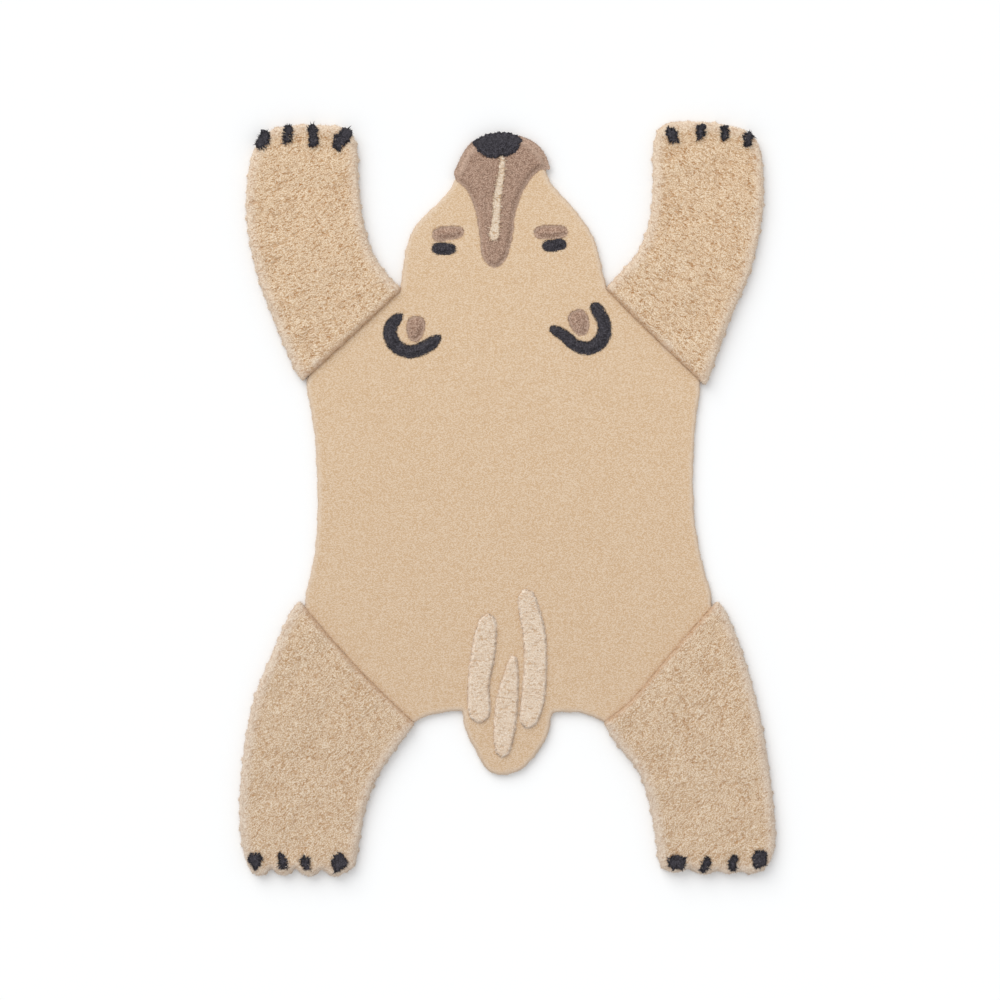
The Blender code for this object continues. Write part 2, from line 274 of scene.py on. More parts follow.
class Tufting:
    """Reads a relief.

    A range says where a reading begins to count and where it counts in full, and a shift keeps one reading of
    the noise apart from the others.
    """

    CLUMP_LAYERS = (1.0, 0.6, 0.35)
    FINE_LAYERS = (1.0, 0.6)
    PATCH = 42 * MM
    PATCH_STRENGTH = 0.35
    SPECK = 3.2 * MM
    VALLEY_RANGE = (0.15, 0.85)
    VALLEY_SHADE = 0.35
    PIT_RANGE = (0.4, 0.7)
    PIT_SHADE = 0.4
    PIT_PATCHINESS = 0.1
    CREASE_PATCHINESS = 0.5
    CREASED_SPOT = 1.3
    CREASED_FADE = 0.45
    TOOTH_RANGE = (0, 0.25)
    TOOTH_UPRIGHT = (1, 1, 0.3)
    STRAY_WIDTH = 3
    STRAY_SHIFTS = (31.7, 53.1)
    CURL_SHIFTS = (23.9, 43.7)
    PATCH_SHIFT = 71.9
    PIT_SHIFT = 5.3
    CREASE_SHIFT = 97.3
    CREASED_SHIFT = 91.3
    SWELL_SHIFT = 3.7
    FRAY_SHIFT = 13.3
    TOOTH_SHIFT = 83.1
    TONE_SHIFT = 61.1

    def __init__(self, relief: Relief, seed: int) -> None:
        """Keep the relief and draw its noise.

        Args:
            relief: The relief to read.
            seed: The number that its noise starts from.
        """
        self.relief = relief
        self.drift = Drift(seed)

    def in_rows(self, places: np.ndarray) -> np.ndarray:
        """Places along the rows, across them and up, pushed out of line."""
        relief = self.relief
        turn = math.radians(relief.heading)
        along = places[:, 0] * math.cos(turn) + places[:, 1] * math.sin(turn)
        across = places[:, 1] * math.cos(turn) - places[:, 0] * math.sin(turn)
        rows = np.column_stack((along, across, places[:, 2]))
        if relief.stray:
            coarse = rows / (self.STRAY_WIDTH * relief.tuft)
            for axis, shift in enumerate(self.STRAY_SHIFTS):
                rows[:, axis] += relief.stray * self.drift.at(coarse, shift)
        return rows

    def read(self, places: np.ndarray) -> Surface:
        """Read the relief.

        Args:
            places: The points of the pile.

        Returns:
            What it does to them.
        """
        relief, drift = self.relief, self.drift
        rows = self.in_rows(places)
        cells = rows / (relief.tuft * relief.stretch, relief.tuft, relief.tuft)
        clump = drift.layered(cells, self.CLUMP_LAYERS)
        patch = drift.at(rows / self.PATCH, self.PATCH_SHIFT)
        strength = 1 + self.PATCH_STRENGTH * patch
        valley = ramp(-clump, *self.VALLEY_RANGE)
        rise = relief.depth * strength * (0.5 * clump - 0.5 * valley)
        # Painted shade down in the valleys between the clumps.
        gap = self.VALLEY_SHADE * valley * strength
        if relief.pit:
            steps = (relief.pit_length, relief.pit_width, relief.pit_width)
            low = -drift.at(rows / steps, self.PIT_SHIFT) + self.PIT_PATCHINESS * patch
            pit = ramp(low, *self.PIT_RANGE)
            rise -= relief.pit * pit
            # Painted shade in the pits.
            gap = np.maximum(gap, self.PIT_SHADE * pit)
        if relief.crease:
            steps = (relief.crease_gap * relief.crease_stretch, relief.crease_gap, relief.crease_gap)
            line = np.exp(-((drift.at(rows / steps, self.CREASE_SHIFT) / relief.crease_width) ** 2))
            spots = rows / (self.CREASED_SPOT * relief.crease_gap)
            where = drift.at(spots, self.CREASED_SHIFT) + self.CREASE_PATCHINESS * patch
            line *= ramp(where, -relief.creased, self.CREASED_FADE - relief.creased)
            rise -= relief.crease * line
            # Painted shade along the creases.
            gap = np.maximum(gap, line)
        if relief.swell:
            rise += relief.swell * drift.at(places / relief.swell_width, self.SWELL_SHIFT)
        sideways = np.zeros((len(places), 3))
        if relief.curl:
            for axis, shift in enumerate(self.CURL_SHIFTS):
                sideways[:, axis] = relief.curl * drift.at(cells, shift)
        fray = relief.fray * drift.layered(places / relief.fray_width, self.FINE_LAYERS, self.FRAY_SHIFT)
        if relief.teeth:
            ridge = drift.at(places * self.TOOTH_UPRIGHT / relief.teeth_width, self.TOOTH_SHIFT)
            fray += relief.teeth * (1 - ramp(np.abs(ridge), *self.TOOTH_RANGE))
        tone = drift.layered(places / self.SPECK, self.FINE_LAYERS, self.TONE_SHIFT)
        return Surface(rise, sideways, fray, np.clip(gap, 0, 1), tone, rows)


def tree_of(points: np.ndarray) -> KDTree:
    """A search tree of points, brought down to the floor."""
    tree = KDTree(len(points))
    for index, point in enumerate(points):
        tree.insert((point[0], point[1], 0), index)
    tree.balance()
    return tree


def nearness(places: np.ndarray, tree: KDTree, reach: float) -> np.ndarray:
    """How near places are to the points of a tree, seen from above: 1 at them, and 0 beyond the reach."""
    far = np.array([tree.find((x, y, 0))[2] for x, y, _ in places])
    return 1 - ramp(far, 0, reach)


class Outline:
    """The outlines of all pieces: the free edge, the seams between them, and what is let into them."""

    SEAM = 4 * MM

    def __init__(self) -> None:
        """Start with no outlines."""
        self.rings: dict[str, np.ndarray] = {}
        self.inlays: dict[str, np.ndarray] = {}
        self.edge: KDTree | None = None
        self.seam: KDTree | None = None
        self.joint: KDTree | None = None

    def inlays_but(self, name: str) -> KDTree:
        """The outlines of all inlays but one."""
        return tree_of(np.concatenate([ring for other, ring in self.inlays.items() if other != name]))

    def join(self) -> None:
        """Part the free edge from the seams, and put the seams together with the inlays' outlines."""
        trees = {name: tree_of(ring) for name, ring in self.rings.items()}
        free, sewn = [], []
        for name, ring in self.rings.items():
            others = [tree for other, tree in trees.items() if other != name]
            for point in ring:
                far = min(tree.find((point[0], point[1], 0))[2] for tree in others)
                (free if far > self.SEAM else sewn).append(point)
        self.edge = tree_of(np.array(free))
        self.seam = tree_of(np.array(sewn))
        self.joint = tree_of(np.concatenate((sewn, *self.inlays.values())))


class YarnEnd:
    """The form of one loose yarn end, which is repeated at many places."""

    SIDES = 3
    UPRIGHT = 0.9

    def __init__(self) -> None:
        """Make the form: a slim closed cone of unit length."""
        shape = bmesh.new()
        bmesh.ops.create_cone(shape, cap_ends=True, segments=self.SIDES, radius1=0.5, radius2=0, depth=1)
        bmesh.ops.translate(shape, verts=shape.verts, vec=(0, 0, 0.5))
        bmesh.ops.remove_doubles(shape, verts=shape.verts, dist=WELD)
        bmesh.ops.triangulate(shape, faces=shape.faces)
        bmesh.ops.recalc_face_normals(shape, faces=shape.faces)
        shape.verts.index_update()
        self.points = np.array([vert.co for vert in shape.verts])
        self.faces = np.array([[vert.index for vert in face.verts] for face in shape.faces])
        shape.free()

    def repeated(
        self, roots: np.ndarray, headings: np.ndarray, lengths: np.ndarray, widths: np.ndarray
    ) -> tuple[np.ndarray, np.ndarray]:
        """Repeat the form.

        Args:
            roots: Where each one's root is.
            headings: The unit direction that each one leaves its root in.
            lengths: How long each one is.
            widths: How wide each one is at its root.

        Returns:
            All points and all triangles.
        """
        upright = np.abs(headings[:, 2:]) > self.UPRIGHT
        side = np.cross(np.where(upright, (1.0, 0.0, 0.0), (0.0, 0.0, 1.0)), headings)
        side /= np.linalg.norm(side, axis=1)[:, None]
        other = np.cross(headings, side)
        x, y, z = (self.points[None, :, axis, None] for axis in range(3))
        across = (x * side[:, None] + y * other[:, None]) * widths[:, None, None]
        places = roots[:, None] + across + z * headings[:, None] * lengths[:, None, None]
        steps = np.arange(len(roots))[:, None, None] * len(self.points)
        return places.reshape(-1, 3), (self.faces[None] + steps).reshape(-1, 3)


YARN_END = YarnEnd()


@dataclass
class Fleece:
    """Loose yarn ends as arrays: their points, triangles and marks."""

    points: np.ndarray
    faces: np.ndarray
    marks: dict[Mark, np.ndarray]


@dataclass
class Pile:
    """One piece of pile, fitted to the solid that it stands for.

    Attributes:
        node: The CAD node that it stands for.
        name: The name of the piece.
        yarn: What it is tufted with.
        relief: How its surface rises and falls.
        grain: The size of its mesh's faces.
        ends: The loose yarn ends that are set into it.
        carrier: The node on the floor that carries it, or nothing where it lies on the floor itself.
        seed: The number that its chances start from.
        bare_to: How far above its underside its walls are bare and plain, within its pocket.
        spread: How far it spreads out over what holds it.
        spread_from: The height from which it spreads.
        held_at: The height of the top of what holds it, just under which its rim is brought.
        feather: How wide the slope from there to its own top is.
        shoulder: The height that its top keeps up to a seam or an inlay.
        edge_reach: How far in from the rug's free edge the yarn lies calmer and is paler, partly as painted
            light.
        seam_reach: How far in from a seam the yarn lies calmer and is paler, partly as painted light.
        rim_reach: How far in from its own rim the yarn is paler, partly as painted light.
        rim_shade: How much painted shade, in the gaps' colour, lines its own rim, or a seam if it lies on the
            floor.
        rim_shade_reach: How far in from there it shows.
        dents: Where it is pushed forward.
        smooth: How often its form is smoothed.
        smooth_walls: How often its walls are then smoothed, seen from above.

    The constants that end in FADE are heights over which a change sets in. Those that end in CALM say how
    much of it an edge takes away, and the tilts are limits of the upward part of a normal.
    """

    LEVEL_SLACK = 0.2
    WALL_SHARE = 0.75
    RIM_SUNK = 0.6 * MM
    SHOULDER_REACH = 8 * MM
    SHOULDER_FULL = 0.3
    SHOULDER_FROM = (3 * MM, 1.5 * MM)
    SPREAD_FADE = 1.5 * MM
    RISE_FADE = 2.5 * MM
    SHADE_FADE = 2 * MM
    EDGE_CALM = 0.2
    EDGE_SHADE_CALM = 0.5
    WALL_RISE = 0.6
    SEAM_PALENESS = 0.35
    INLAY_REACH = 4 * MM
    WALL_TILT = 0.92
    TOP_TILT = 0.75
    AT_EDGE = 0.3
    END_SEEDS = 100
    END_LENGTHS = (0.6, 1.3)
    END_WIDTHS = (0.7, 1.3)
    END_TONES = 0.5
    END_STRAY = (1, 1, 0.4)
    OFF_FLOOR = 0.2 * MM

    node: str
    name: str
    yarn: Yarn
    relief: Relief
    grain: float
    ends: tuple[LooseEnds, ...]
    carrier: str = ""
    seed: int = 1
    bare_to: float = 0.0
    spread: float = 0.0
    spread_from: float = 0.0
    held_at: float = 0.0
    feather: float = 0.0
    shoulder: float = 0.0
    edge_reach: float = 9 * MM
    seam_reach: float = 0.0
    rim_reach: float = 0.0
    rim_shade: float = 0.0
    rim_shade_reach: float = 4 * MM
    dents: tuple[Dent, ...] = ()
    smooth: int = 2
    smooth_walls: int = 0
    mesh: bpy.types.Mesh | None = field(default=None, init=False)
    ring: np.ndarray | None = field(default=None, init=False)
    flat_area: float = field(default=0.0, init=False)
    pieces: list[bpy.types.Object] = field(default_factory=list, init=False)

    def solid_copy(self) -> tuple[bpy.types.Mesh, float]:
        """A closed copy of the solid's part above its bare walls.

        Returns:
            The copy and the height of the solid's underside.
        """
        shape = bmesh.new()
        shape.from_mesh(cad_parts[self.node].data)
        bmesh.ops.remove_doubles(shape, verts=shape.verts, dist=WELD)
        under = min(vert.co.z for vert in shape.verts)
        if self.bare_to:
            geometry = [*shape.verts, *shape.edges, *shape.faces]
            level = (0, 0, under + self.bare_to)
            bmesh.ops.bisect_plane(
                shape, geom=geometry, dist=WELD, plane_co=level, plane_no=(0, 0, 1), clear_inner=True
            )
            rim = [edge for edge in shape.edges if edge.is_boundary]
            bmesh.ops.edgeloop_fill(shape, edges=rim)
            bmesh.ops.recalc_face_normals(shape, faces=shape.faces)
        mesh = bpy.data.meshes.new(self.name + "_plain")
        shape.to_mesh(mesh)
        shape.free()
        return mesh, under

    def fine_copy(self, plain: bpy.types.Mesh) -> bpy.types.Mesh:
        """A copy of a mesh with small even faces.

        Args:
            plain: The mesh, which is removed.

        Returns:
            The new mesh.
        """
        carrier = bpy.data.objects.new(self.name + "_plain", plain)
        bpy.context.scene.collection.objects.link(carrier)
        remesh = carrier.modifiers.new("even_faces", "REMESH")
        remesh.mode = "VOXEL"
        remesh.voxel_size = self.grain
        remesh.adaptivity = 0
        fine = bpy.data.meshes.new_from_object(carrier.evaluated_get(bpy.context.evaluated_depsgraph_get()))
        bpy.data.objects.remove(carrier)
        bpy.data.meshes.remove(plain)
        return fine

    def prepare(self) -> None:
        """Make the fine mesh, with plain walls down to one level face as its underside."""
        plain, under = self.solid_copy()
        self.mesh = self.fine_copy(plain)
        shape = bmesh.new()
        shape.from_mesh(self.mesh)
        limit = under + self.bare_to + self.LEVEL_SLACK * self.grain
        level_faces = [face for face in shape.faces if all(vert.co.z < limit for vert in face.verts)]
        bmesh.ops.delete(shape, geom=level_faces, context="FACES")
        upper = [vert for vert in shape.verts if vert.co.z > limit]
        top = max(vert.co.z for vert in upper)
        walls = [vert for vert in upper if vert.co.z < self.WALL_SHARE * top]
        for moving, times in ((upper, self.smooth), (walls, self.smooth_walls)):
            for _ in range(times):
                bmesh.ops.smooth_vert(
                    shape, verts=moving, factor=0.5, use_axis_x=True, use_axis_y=True,
                    use_axis_z=moving is upper,
                )
        rim = [edge for edge in shape.edges if edge.is_boundary]
        if self.bare_to:
            walls = bmesh.ops.extrude_edge_only(shape, edges=rim)["geom"]
            foot = [part for part in walls if isinstance(part, bmesh.types.BMVert)]
            bmesh.ops.translate(shape, verts=foot, vec=(0, 0, -self.bare_to))
            rim = [edge for edge in shape.edges if edge.is_boundary]
        self.ring = np.array([edge.verts[0].co for edge in rim])
        filled = bmesh.ops.edgeloop_fill(shape, edges=rim, mat_nr=1)["faces"]
        self.flat_area = sum(face.calc_area() for face in filled)
        for face in shape.faces:
            face.smooth = len(face.verts) <= 4
        bmesh.ops.recalc_face_normals(shape, faces=shape.faces)
        shape.to_mesh(self.mesh)
        shape.free()

    def shape_rim(self, places: np.ndarray, outline: Outline) -> np.ndarray:
        """Bring the rim down to what holds the piece, and keep the top level up to a seam.

        Args:
            places: The points of the pile, which are changed.
            outline: The rug's outline.

        Returns:
            How near each point is to the piece's own rim.
        """
        rim = tree_of(self.ring)
        for dent in self.dents:
            far = np.linalg.norm(places[:, :2] - dent.place, axis=1)
            places[:, 1] += dent.depth * (1 - ramp(far, 0, dent.reach))
        if self.feather:
            low = self.held_at - self.RIM_SUNK
            above = np.maximum(places[:, 2] - low, 0)
            places[:, 2] -= above * nearness(places, rim, self.feather)
        if self.shoulder:
            near = ramp(nearness(places, outline.joint, self.SHOULDER_REACH), 0, self.SHOULDER_FULL)
            low, high = (self.shoulder - below for below in self.SHOULDER_FROM)
            share = near * ramp(places[:, 2], low, high)
            places[:, 2] += np.maximum(self.shoulder - places[:, 2], 0) * share
        return nearness(places, rim, self.rim_reach) if self.rim_reach else np.zeros(len(places))

    def tuft(self, outline: Outline) -> tuple[np.ndarray, np.ndarray, dict[Mark, np.ndarray]]:
        """Shape the rim and raise the relief.

        Args:
            outline: The rug's outline.

        Returns:
            The points, their normals before the relief, and their marks.
        """
        count = len(self.mesh.vertices)
        places, normals = np.zeros(count * 3), np.zeros(count * 3)
        self.mesh.vertices.foreach_get("co", places)
        self.mesh.vertex_normals.foreach_get("vector", normals)
        places, normals = places.reshape(-1, 3), normals.reshape(-1, 3)
        under = places[:, 2].min()
        height = places[:, 2] - under - self.bare_to
        surface = Tufting(self.relief, self.seed).read(places)
        # The edge mark makes the yarn paler near the free edge and the seams, partly as painted light on the
        # shaded slopes, and calms the relief there.
        edge = nearness(places, outline.edge, self.edge_reach)
        if self.seam_reach:
            edge = np.maximum(edge, self.SEAM_PALENESS * nearness(places, outline.seam, self.seam_reach))
        # A painted shadow line along a seam, or along the piece's own rim if it is an inlay.
        rim_shade = np.zeros(count)
        if self.rim_shade:
            joint = tree_of(self.ring) if self.carrier else outline.seam
            rim_shade = self.rim_shade * nearness(places, joint, self.rim_shade_reach)
        free = ramp(places[:, 2], self.spread_from, self.spread_from + self.SPREAD_FADE)
        rim = self.shape_rim(places, outline)
        places = places + normals * (1, 1, 0) * (free * (self.spread + surface.fray))[:, None]
        upright = self.WALL_RISE + (1 - self.WALL_RISE) * np.abs(normals[:, 2])
        rise = surface.rise * (1 - self.EDGE_CALM * edge) * upright
        share = ramp(height, 0, self.RISE_FADE)[:, None]
        moved = places + share * (normals * rise[:, None] + surface.sideways)
        moved[:, 2] = np.maximum(moved[:, 2], under)
        # Painted shade in the gaps, faded out near the foot and fainter near an edge.
        gap = surface.gap * ramp(height, 0, self.SHADE_FADE) * (1 - self.EDGE_SHADE_CALM * edge)
        marks = {
            Mark.GAP: np.maximum(gap, rim_shade),
            Mark.EDGE: np.maximum(edge, rim),
            Mark.TONE: surface.tone,
            Mark.LIE: surface.lie,
        }
        return moved, normals, marks

    def way_to_inlays(self, places: np.ndarray, outline: Outline) -> tuple[np.ndarray, np.ndarray]:
        """How far the points are from the nearest inlay that isn't this piece, and which way it lies.

        Args:
            places: The points of the pile.
            outline: The rug's outline.

        Returns:
            The distances seen from above, and the unit directions.
        """
        tree = outline.inlays_but(self.name)
        found = [tree.find((x, y, 0)) for x, y, _ in places]
        far = np.array([distance for _, _, distance in found])
        way = np.array([point for point, _, _ in found]) - places * (1, 1, 0)
        return far, way / np.maximum(far, WELD)[:, None]

    def usable(
        self, places: np.ndarray, normals: np.ndarray, edge: np.ndarray, far: np.ndarray, ends: LooseEnds
    ) -> np.ndarray:
        """Where loose yarn ends may stand.

        Args:
            places: The points of the pile.
            normals: Their normals.
            edge: How near they are to an edge.
            far: How far they are from the nearest inlay.
            ends: The yarn ends to set.

        Returns:
            The indexes of the points.
        """
        on_walls = ends.spot in (Spot.WALL, Spot.FREE_EDGE)
        level = np.abs(normals[:, 2]) < self.WALL_TILT if on_walls else normals[:, 2] > self.TOP_TILT
        if ends.spot is Spot.FREE_EDGE:
            level = level & (edge > self.AT_EDGE)
        if ends.spot is Spot.ROUND_INLAYS:
            level = level & (far < self.INLAY_REACH)
        high = places[:, 2] > places[:, 2].min() + self.bare_to + ends.from_height
        return np.flatnonzero(level & high)

    def grow_fleece(
        self, places: np.ndarray, normals: np.ndarray, marks: dict[Mark, np.ndarray], outline: Outline
    ) -> Fleece:
        """Grow the pile's loose yarn ends.

        Args:
            places: The points of the pile.
            normals: Their normals.
            marks: Their marks.
            outline: The rug's outline.

        Returns:
            The yarn ends.
        """
        turn = math.radians(self.relief.heading)
        far, way = np.zeros(len(places)), normals
        if any(ends.spot is Spot.ROUND_INLAYS for ends in self.ends):
            far, way = self.way_to_inlays(places, outline)
        points, faces, roots_of, tones, count = [], [], [], [], 0
        for number, ends in enumerate(self.ends):
            draw = np.random.default_rng(self.seed + self.END_SEEDS + number)
            usable = self.usable(places, normals, marks[Mark.EDGE], far, ends)
            chosen = draw.choice(usable, min(ends.count, len(usable)), replace=False)
            row = np.outer(draw.choice((-1, 1), len(chosen)), (math.cos(turn), math.sin(turn), 0))
            outward = way if ends.spot is Spot.ROUND_INLAYS else normals
            heading = (1 - ends.along) * outward[chosen] + ends.along * row
            heading += draw.normal(0, ends.stray, (len(chosen), 3)) * self.END_STRAY
            heading[:, 2] += ends.lift
            heading /= np.linalg.norm(heading, axis=1)[:, None]
            lengths = ends.length * draw.uniform(*self.END_LENGTHS, len(chosen))
            widths = ends.width * draw.uniform(*self.END_WIDTHS, len(chosen))
            roots = places[chosen] - heading * (lengths * ends.sunk)[:, None]
            new_points, new_faces = YARN_END.repeated(roots, heading, lengths, widths)
            points.append(new_points)
            faces.append(new_faces + count)
            roots_of.append(chosen)
            tones.append(ends.tone + draw.normal(0, self.END_TONES, len(chosen)))
            count += len(new_points)
        points = np.concatenate(points)
        points[:, 2] = np.maximum(points[:, 2], places[:, 2].min() + self.OFF_FLOOR)
        corners = len(YARN_END.points)
        roots_of = np.repeat(np.concatenate(roots_of), corners)
        new_marks = {
            Mark.GAP: np.zeros(count),
            Mark.EDGE: marks[Mark.EDGE][roots_of],
            Mark.TONE: np.repeat(np.concatenate(tones), corners),
            Mark.LIE: marks[Mark.LIE][roots_of],
        }
        return Fleece(points, np.concatenate(faces), new_marks)

    @staticmethod
    def mark(mesh: bpy.types.Mesh, marks: dict[Mark, np.ndarray]) -> None:
        """Store the marks of a mesh's points."""
        for mark, values in marks.items():
            kind, slot = ("FLOAT_VECTOR", "vector") if values.ndim == 2 else ("FLOAT", "value")
            layer = mesh.attributes.new(mark.value, kind, "POINT")
            layer.data.foreach_set(slot, values.astype(np.float32).ravel())

    def give(self, name: str, mesh: bpy.types.Mesh) -> bpy.types.Object:
        """Make a mesh a piece that rides on the rug."""
        mesh.name = name
        piece = bpy.data.objects.new(name, mesh)
        bpy.context.scene.collection.objects.link(piece)
        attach(piece, BODY)
        self.pieces.append(piece)
        return piece

    def build(self, outline: Outline) -> None:
        """Build the piece and its loose yarn ends, which are a piece of their own where it lies on the floor.

        Args:
            outline: The rug's outline.
        """
        places, normals, marks = self.tuft(outline)
        self.mesh.vertices.foreach_set("co", places.ravel())
        fleece = self.grow_fleece(places, normals, marks, outline)
        loose = bpy.data.meshes.new(self.name + "_ends")
        loose.from_pydata(fleece.points.tolist(), [], fleece.faces.tolist())
        if self.carrier:
            shape = bmesh.new()
            shape.from_mesh(self.mesh)
            shape.from_mesh(loose)
            shape.to_mesh(self.mesh)
            shape.free()
            bpy.data.meshes.remove(loose)
            marks = {mark: np.concatenate((values, fleece.marks[mark])) for mark, values in marks.items()}
        self.mark(self.mesh, marks)
        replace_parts(self.give(self.name, self.mesh), self.node)
        if not self.carrier:
            self.mark(loose, fleece.marks)
            self.give(self.name + "_ends", loose)

    def dress(self, wools: dict[Yarn, bpy.types.Material], canvas: bpy.types.Material) -> None:
        """Give the pieces their finishes.

        Args:
            wools: The material of each yarn.
            canvas: The material of the underside.
        """
        for piece in self.pieces:
            for material in (wools[self.yarn], canvas):
                piece.data.materials.append(material)
            triangles = sum(len(face.vertices) - 2 for face in piece.data.polygons)
            log.info("%s: %d triangles, %s", piece.name, triangles, self.yarn.value)

    def declare(self, piles: list["Pile"]) -> None:
        """Args:
            piles: All piles of the rug. Not used.
        """


class Wiring:
    """Adds nodes to one shader tree and joins them."""

    def __init__(self, tree: bpy.types.NodeTree) -> None:
        """Keep the tree.

        Args:
            tree: The tree to work in.
        """
        self.tree = tree

    def add(
        self, kind: str, inputs: dict[str | int, object] | None = None, **settings: object
    ) -> bpy.types.Node:
        """Add a node.

        Args:
            kind: Its type, without the words ShaderNode.
            inputs: What each of its inputs is joined to, or the value that it holds.
            settings: Its other settings.

        Returns:
            The node.
        """
        node = self.tree.nodes.new("ShaderNode" + kind)
        for name, value in settings.items():
            setattr(node, name, value)
        for name, value in (inputs or {}).items():
            if isinstance(value, bpy.types.NodeSocket):
                self.tree.links.new(value, node.inputs[name])
            else:
                node.inputs[name].default_value = value
        return node

    def math(self, operation: str, first: object, second: object = 0.0) -> bpy.types.NodeSocket:
        """A sum on two values."""
        return self.add("Math", {0: first, 1: second}, operation=operation).outputs[0]

    def spread(
        self, value: bpy.types.NodeSocket, low: float, high: float, most: float = 1.0
    ) -> bpy.types.NodeSocket:
        """A value spread softly from 0 at low to the most at high."""
        inputs = {"Value": value, "From Min": low, "From Max": high, "To Max": most}
        return self.add("MapRange", inputs, interpolation_type="SMOOTHSTEP").outputs["Result"]

    def mix(
        self, share: bpy.types.NodeSocket, first: object, second: object, blend: str = "MIX"
    ) -> bpy.types.NodeSocket:
        """Two colours mixed."""
        node = self.add("Mix", data_type="RGBA", blend_type=blend, clamp_factor=True)
        self.tree.links.new(share, node.inputs[0])
        for index, value in ((6, first), (7, second)):
            if isinstance(value, bpy.types.NodeSocket):
                self.tree.links.new(value, node.inputs[index])
            else:
                node.inputs[index].default_value = (*value, 1)
        return node.outputs[2]


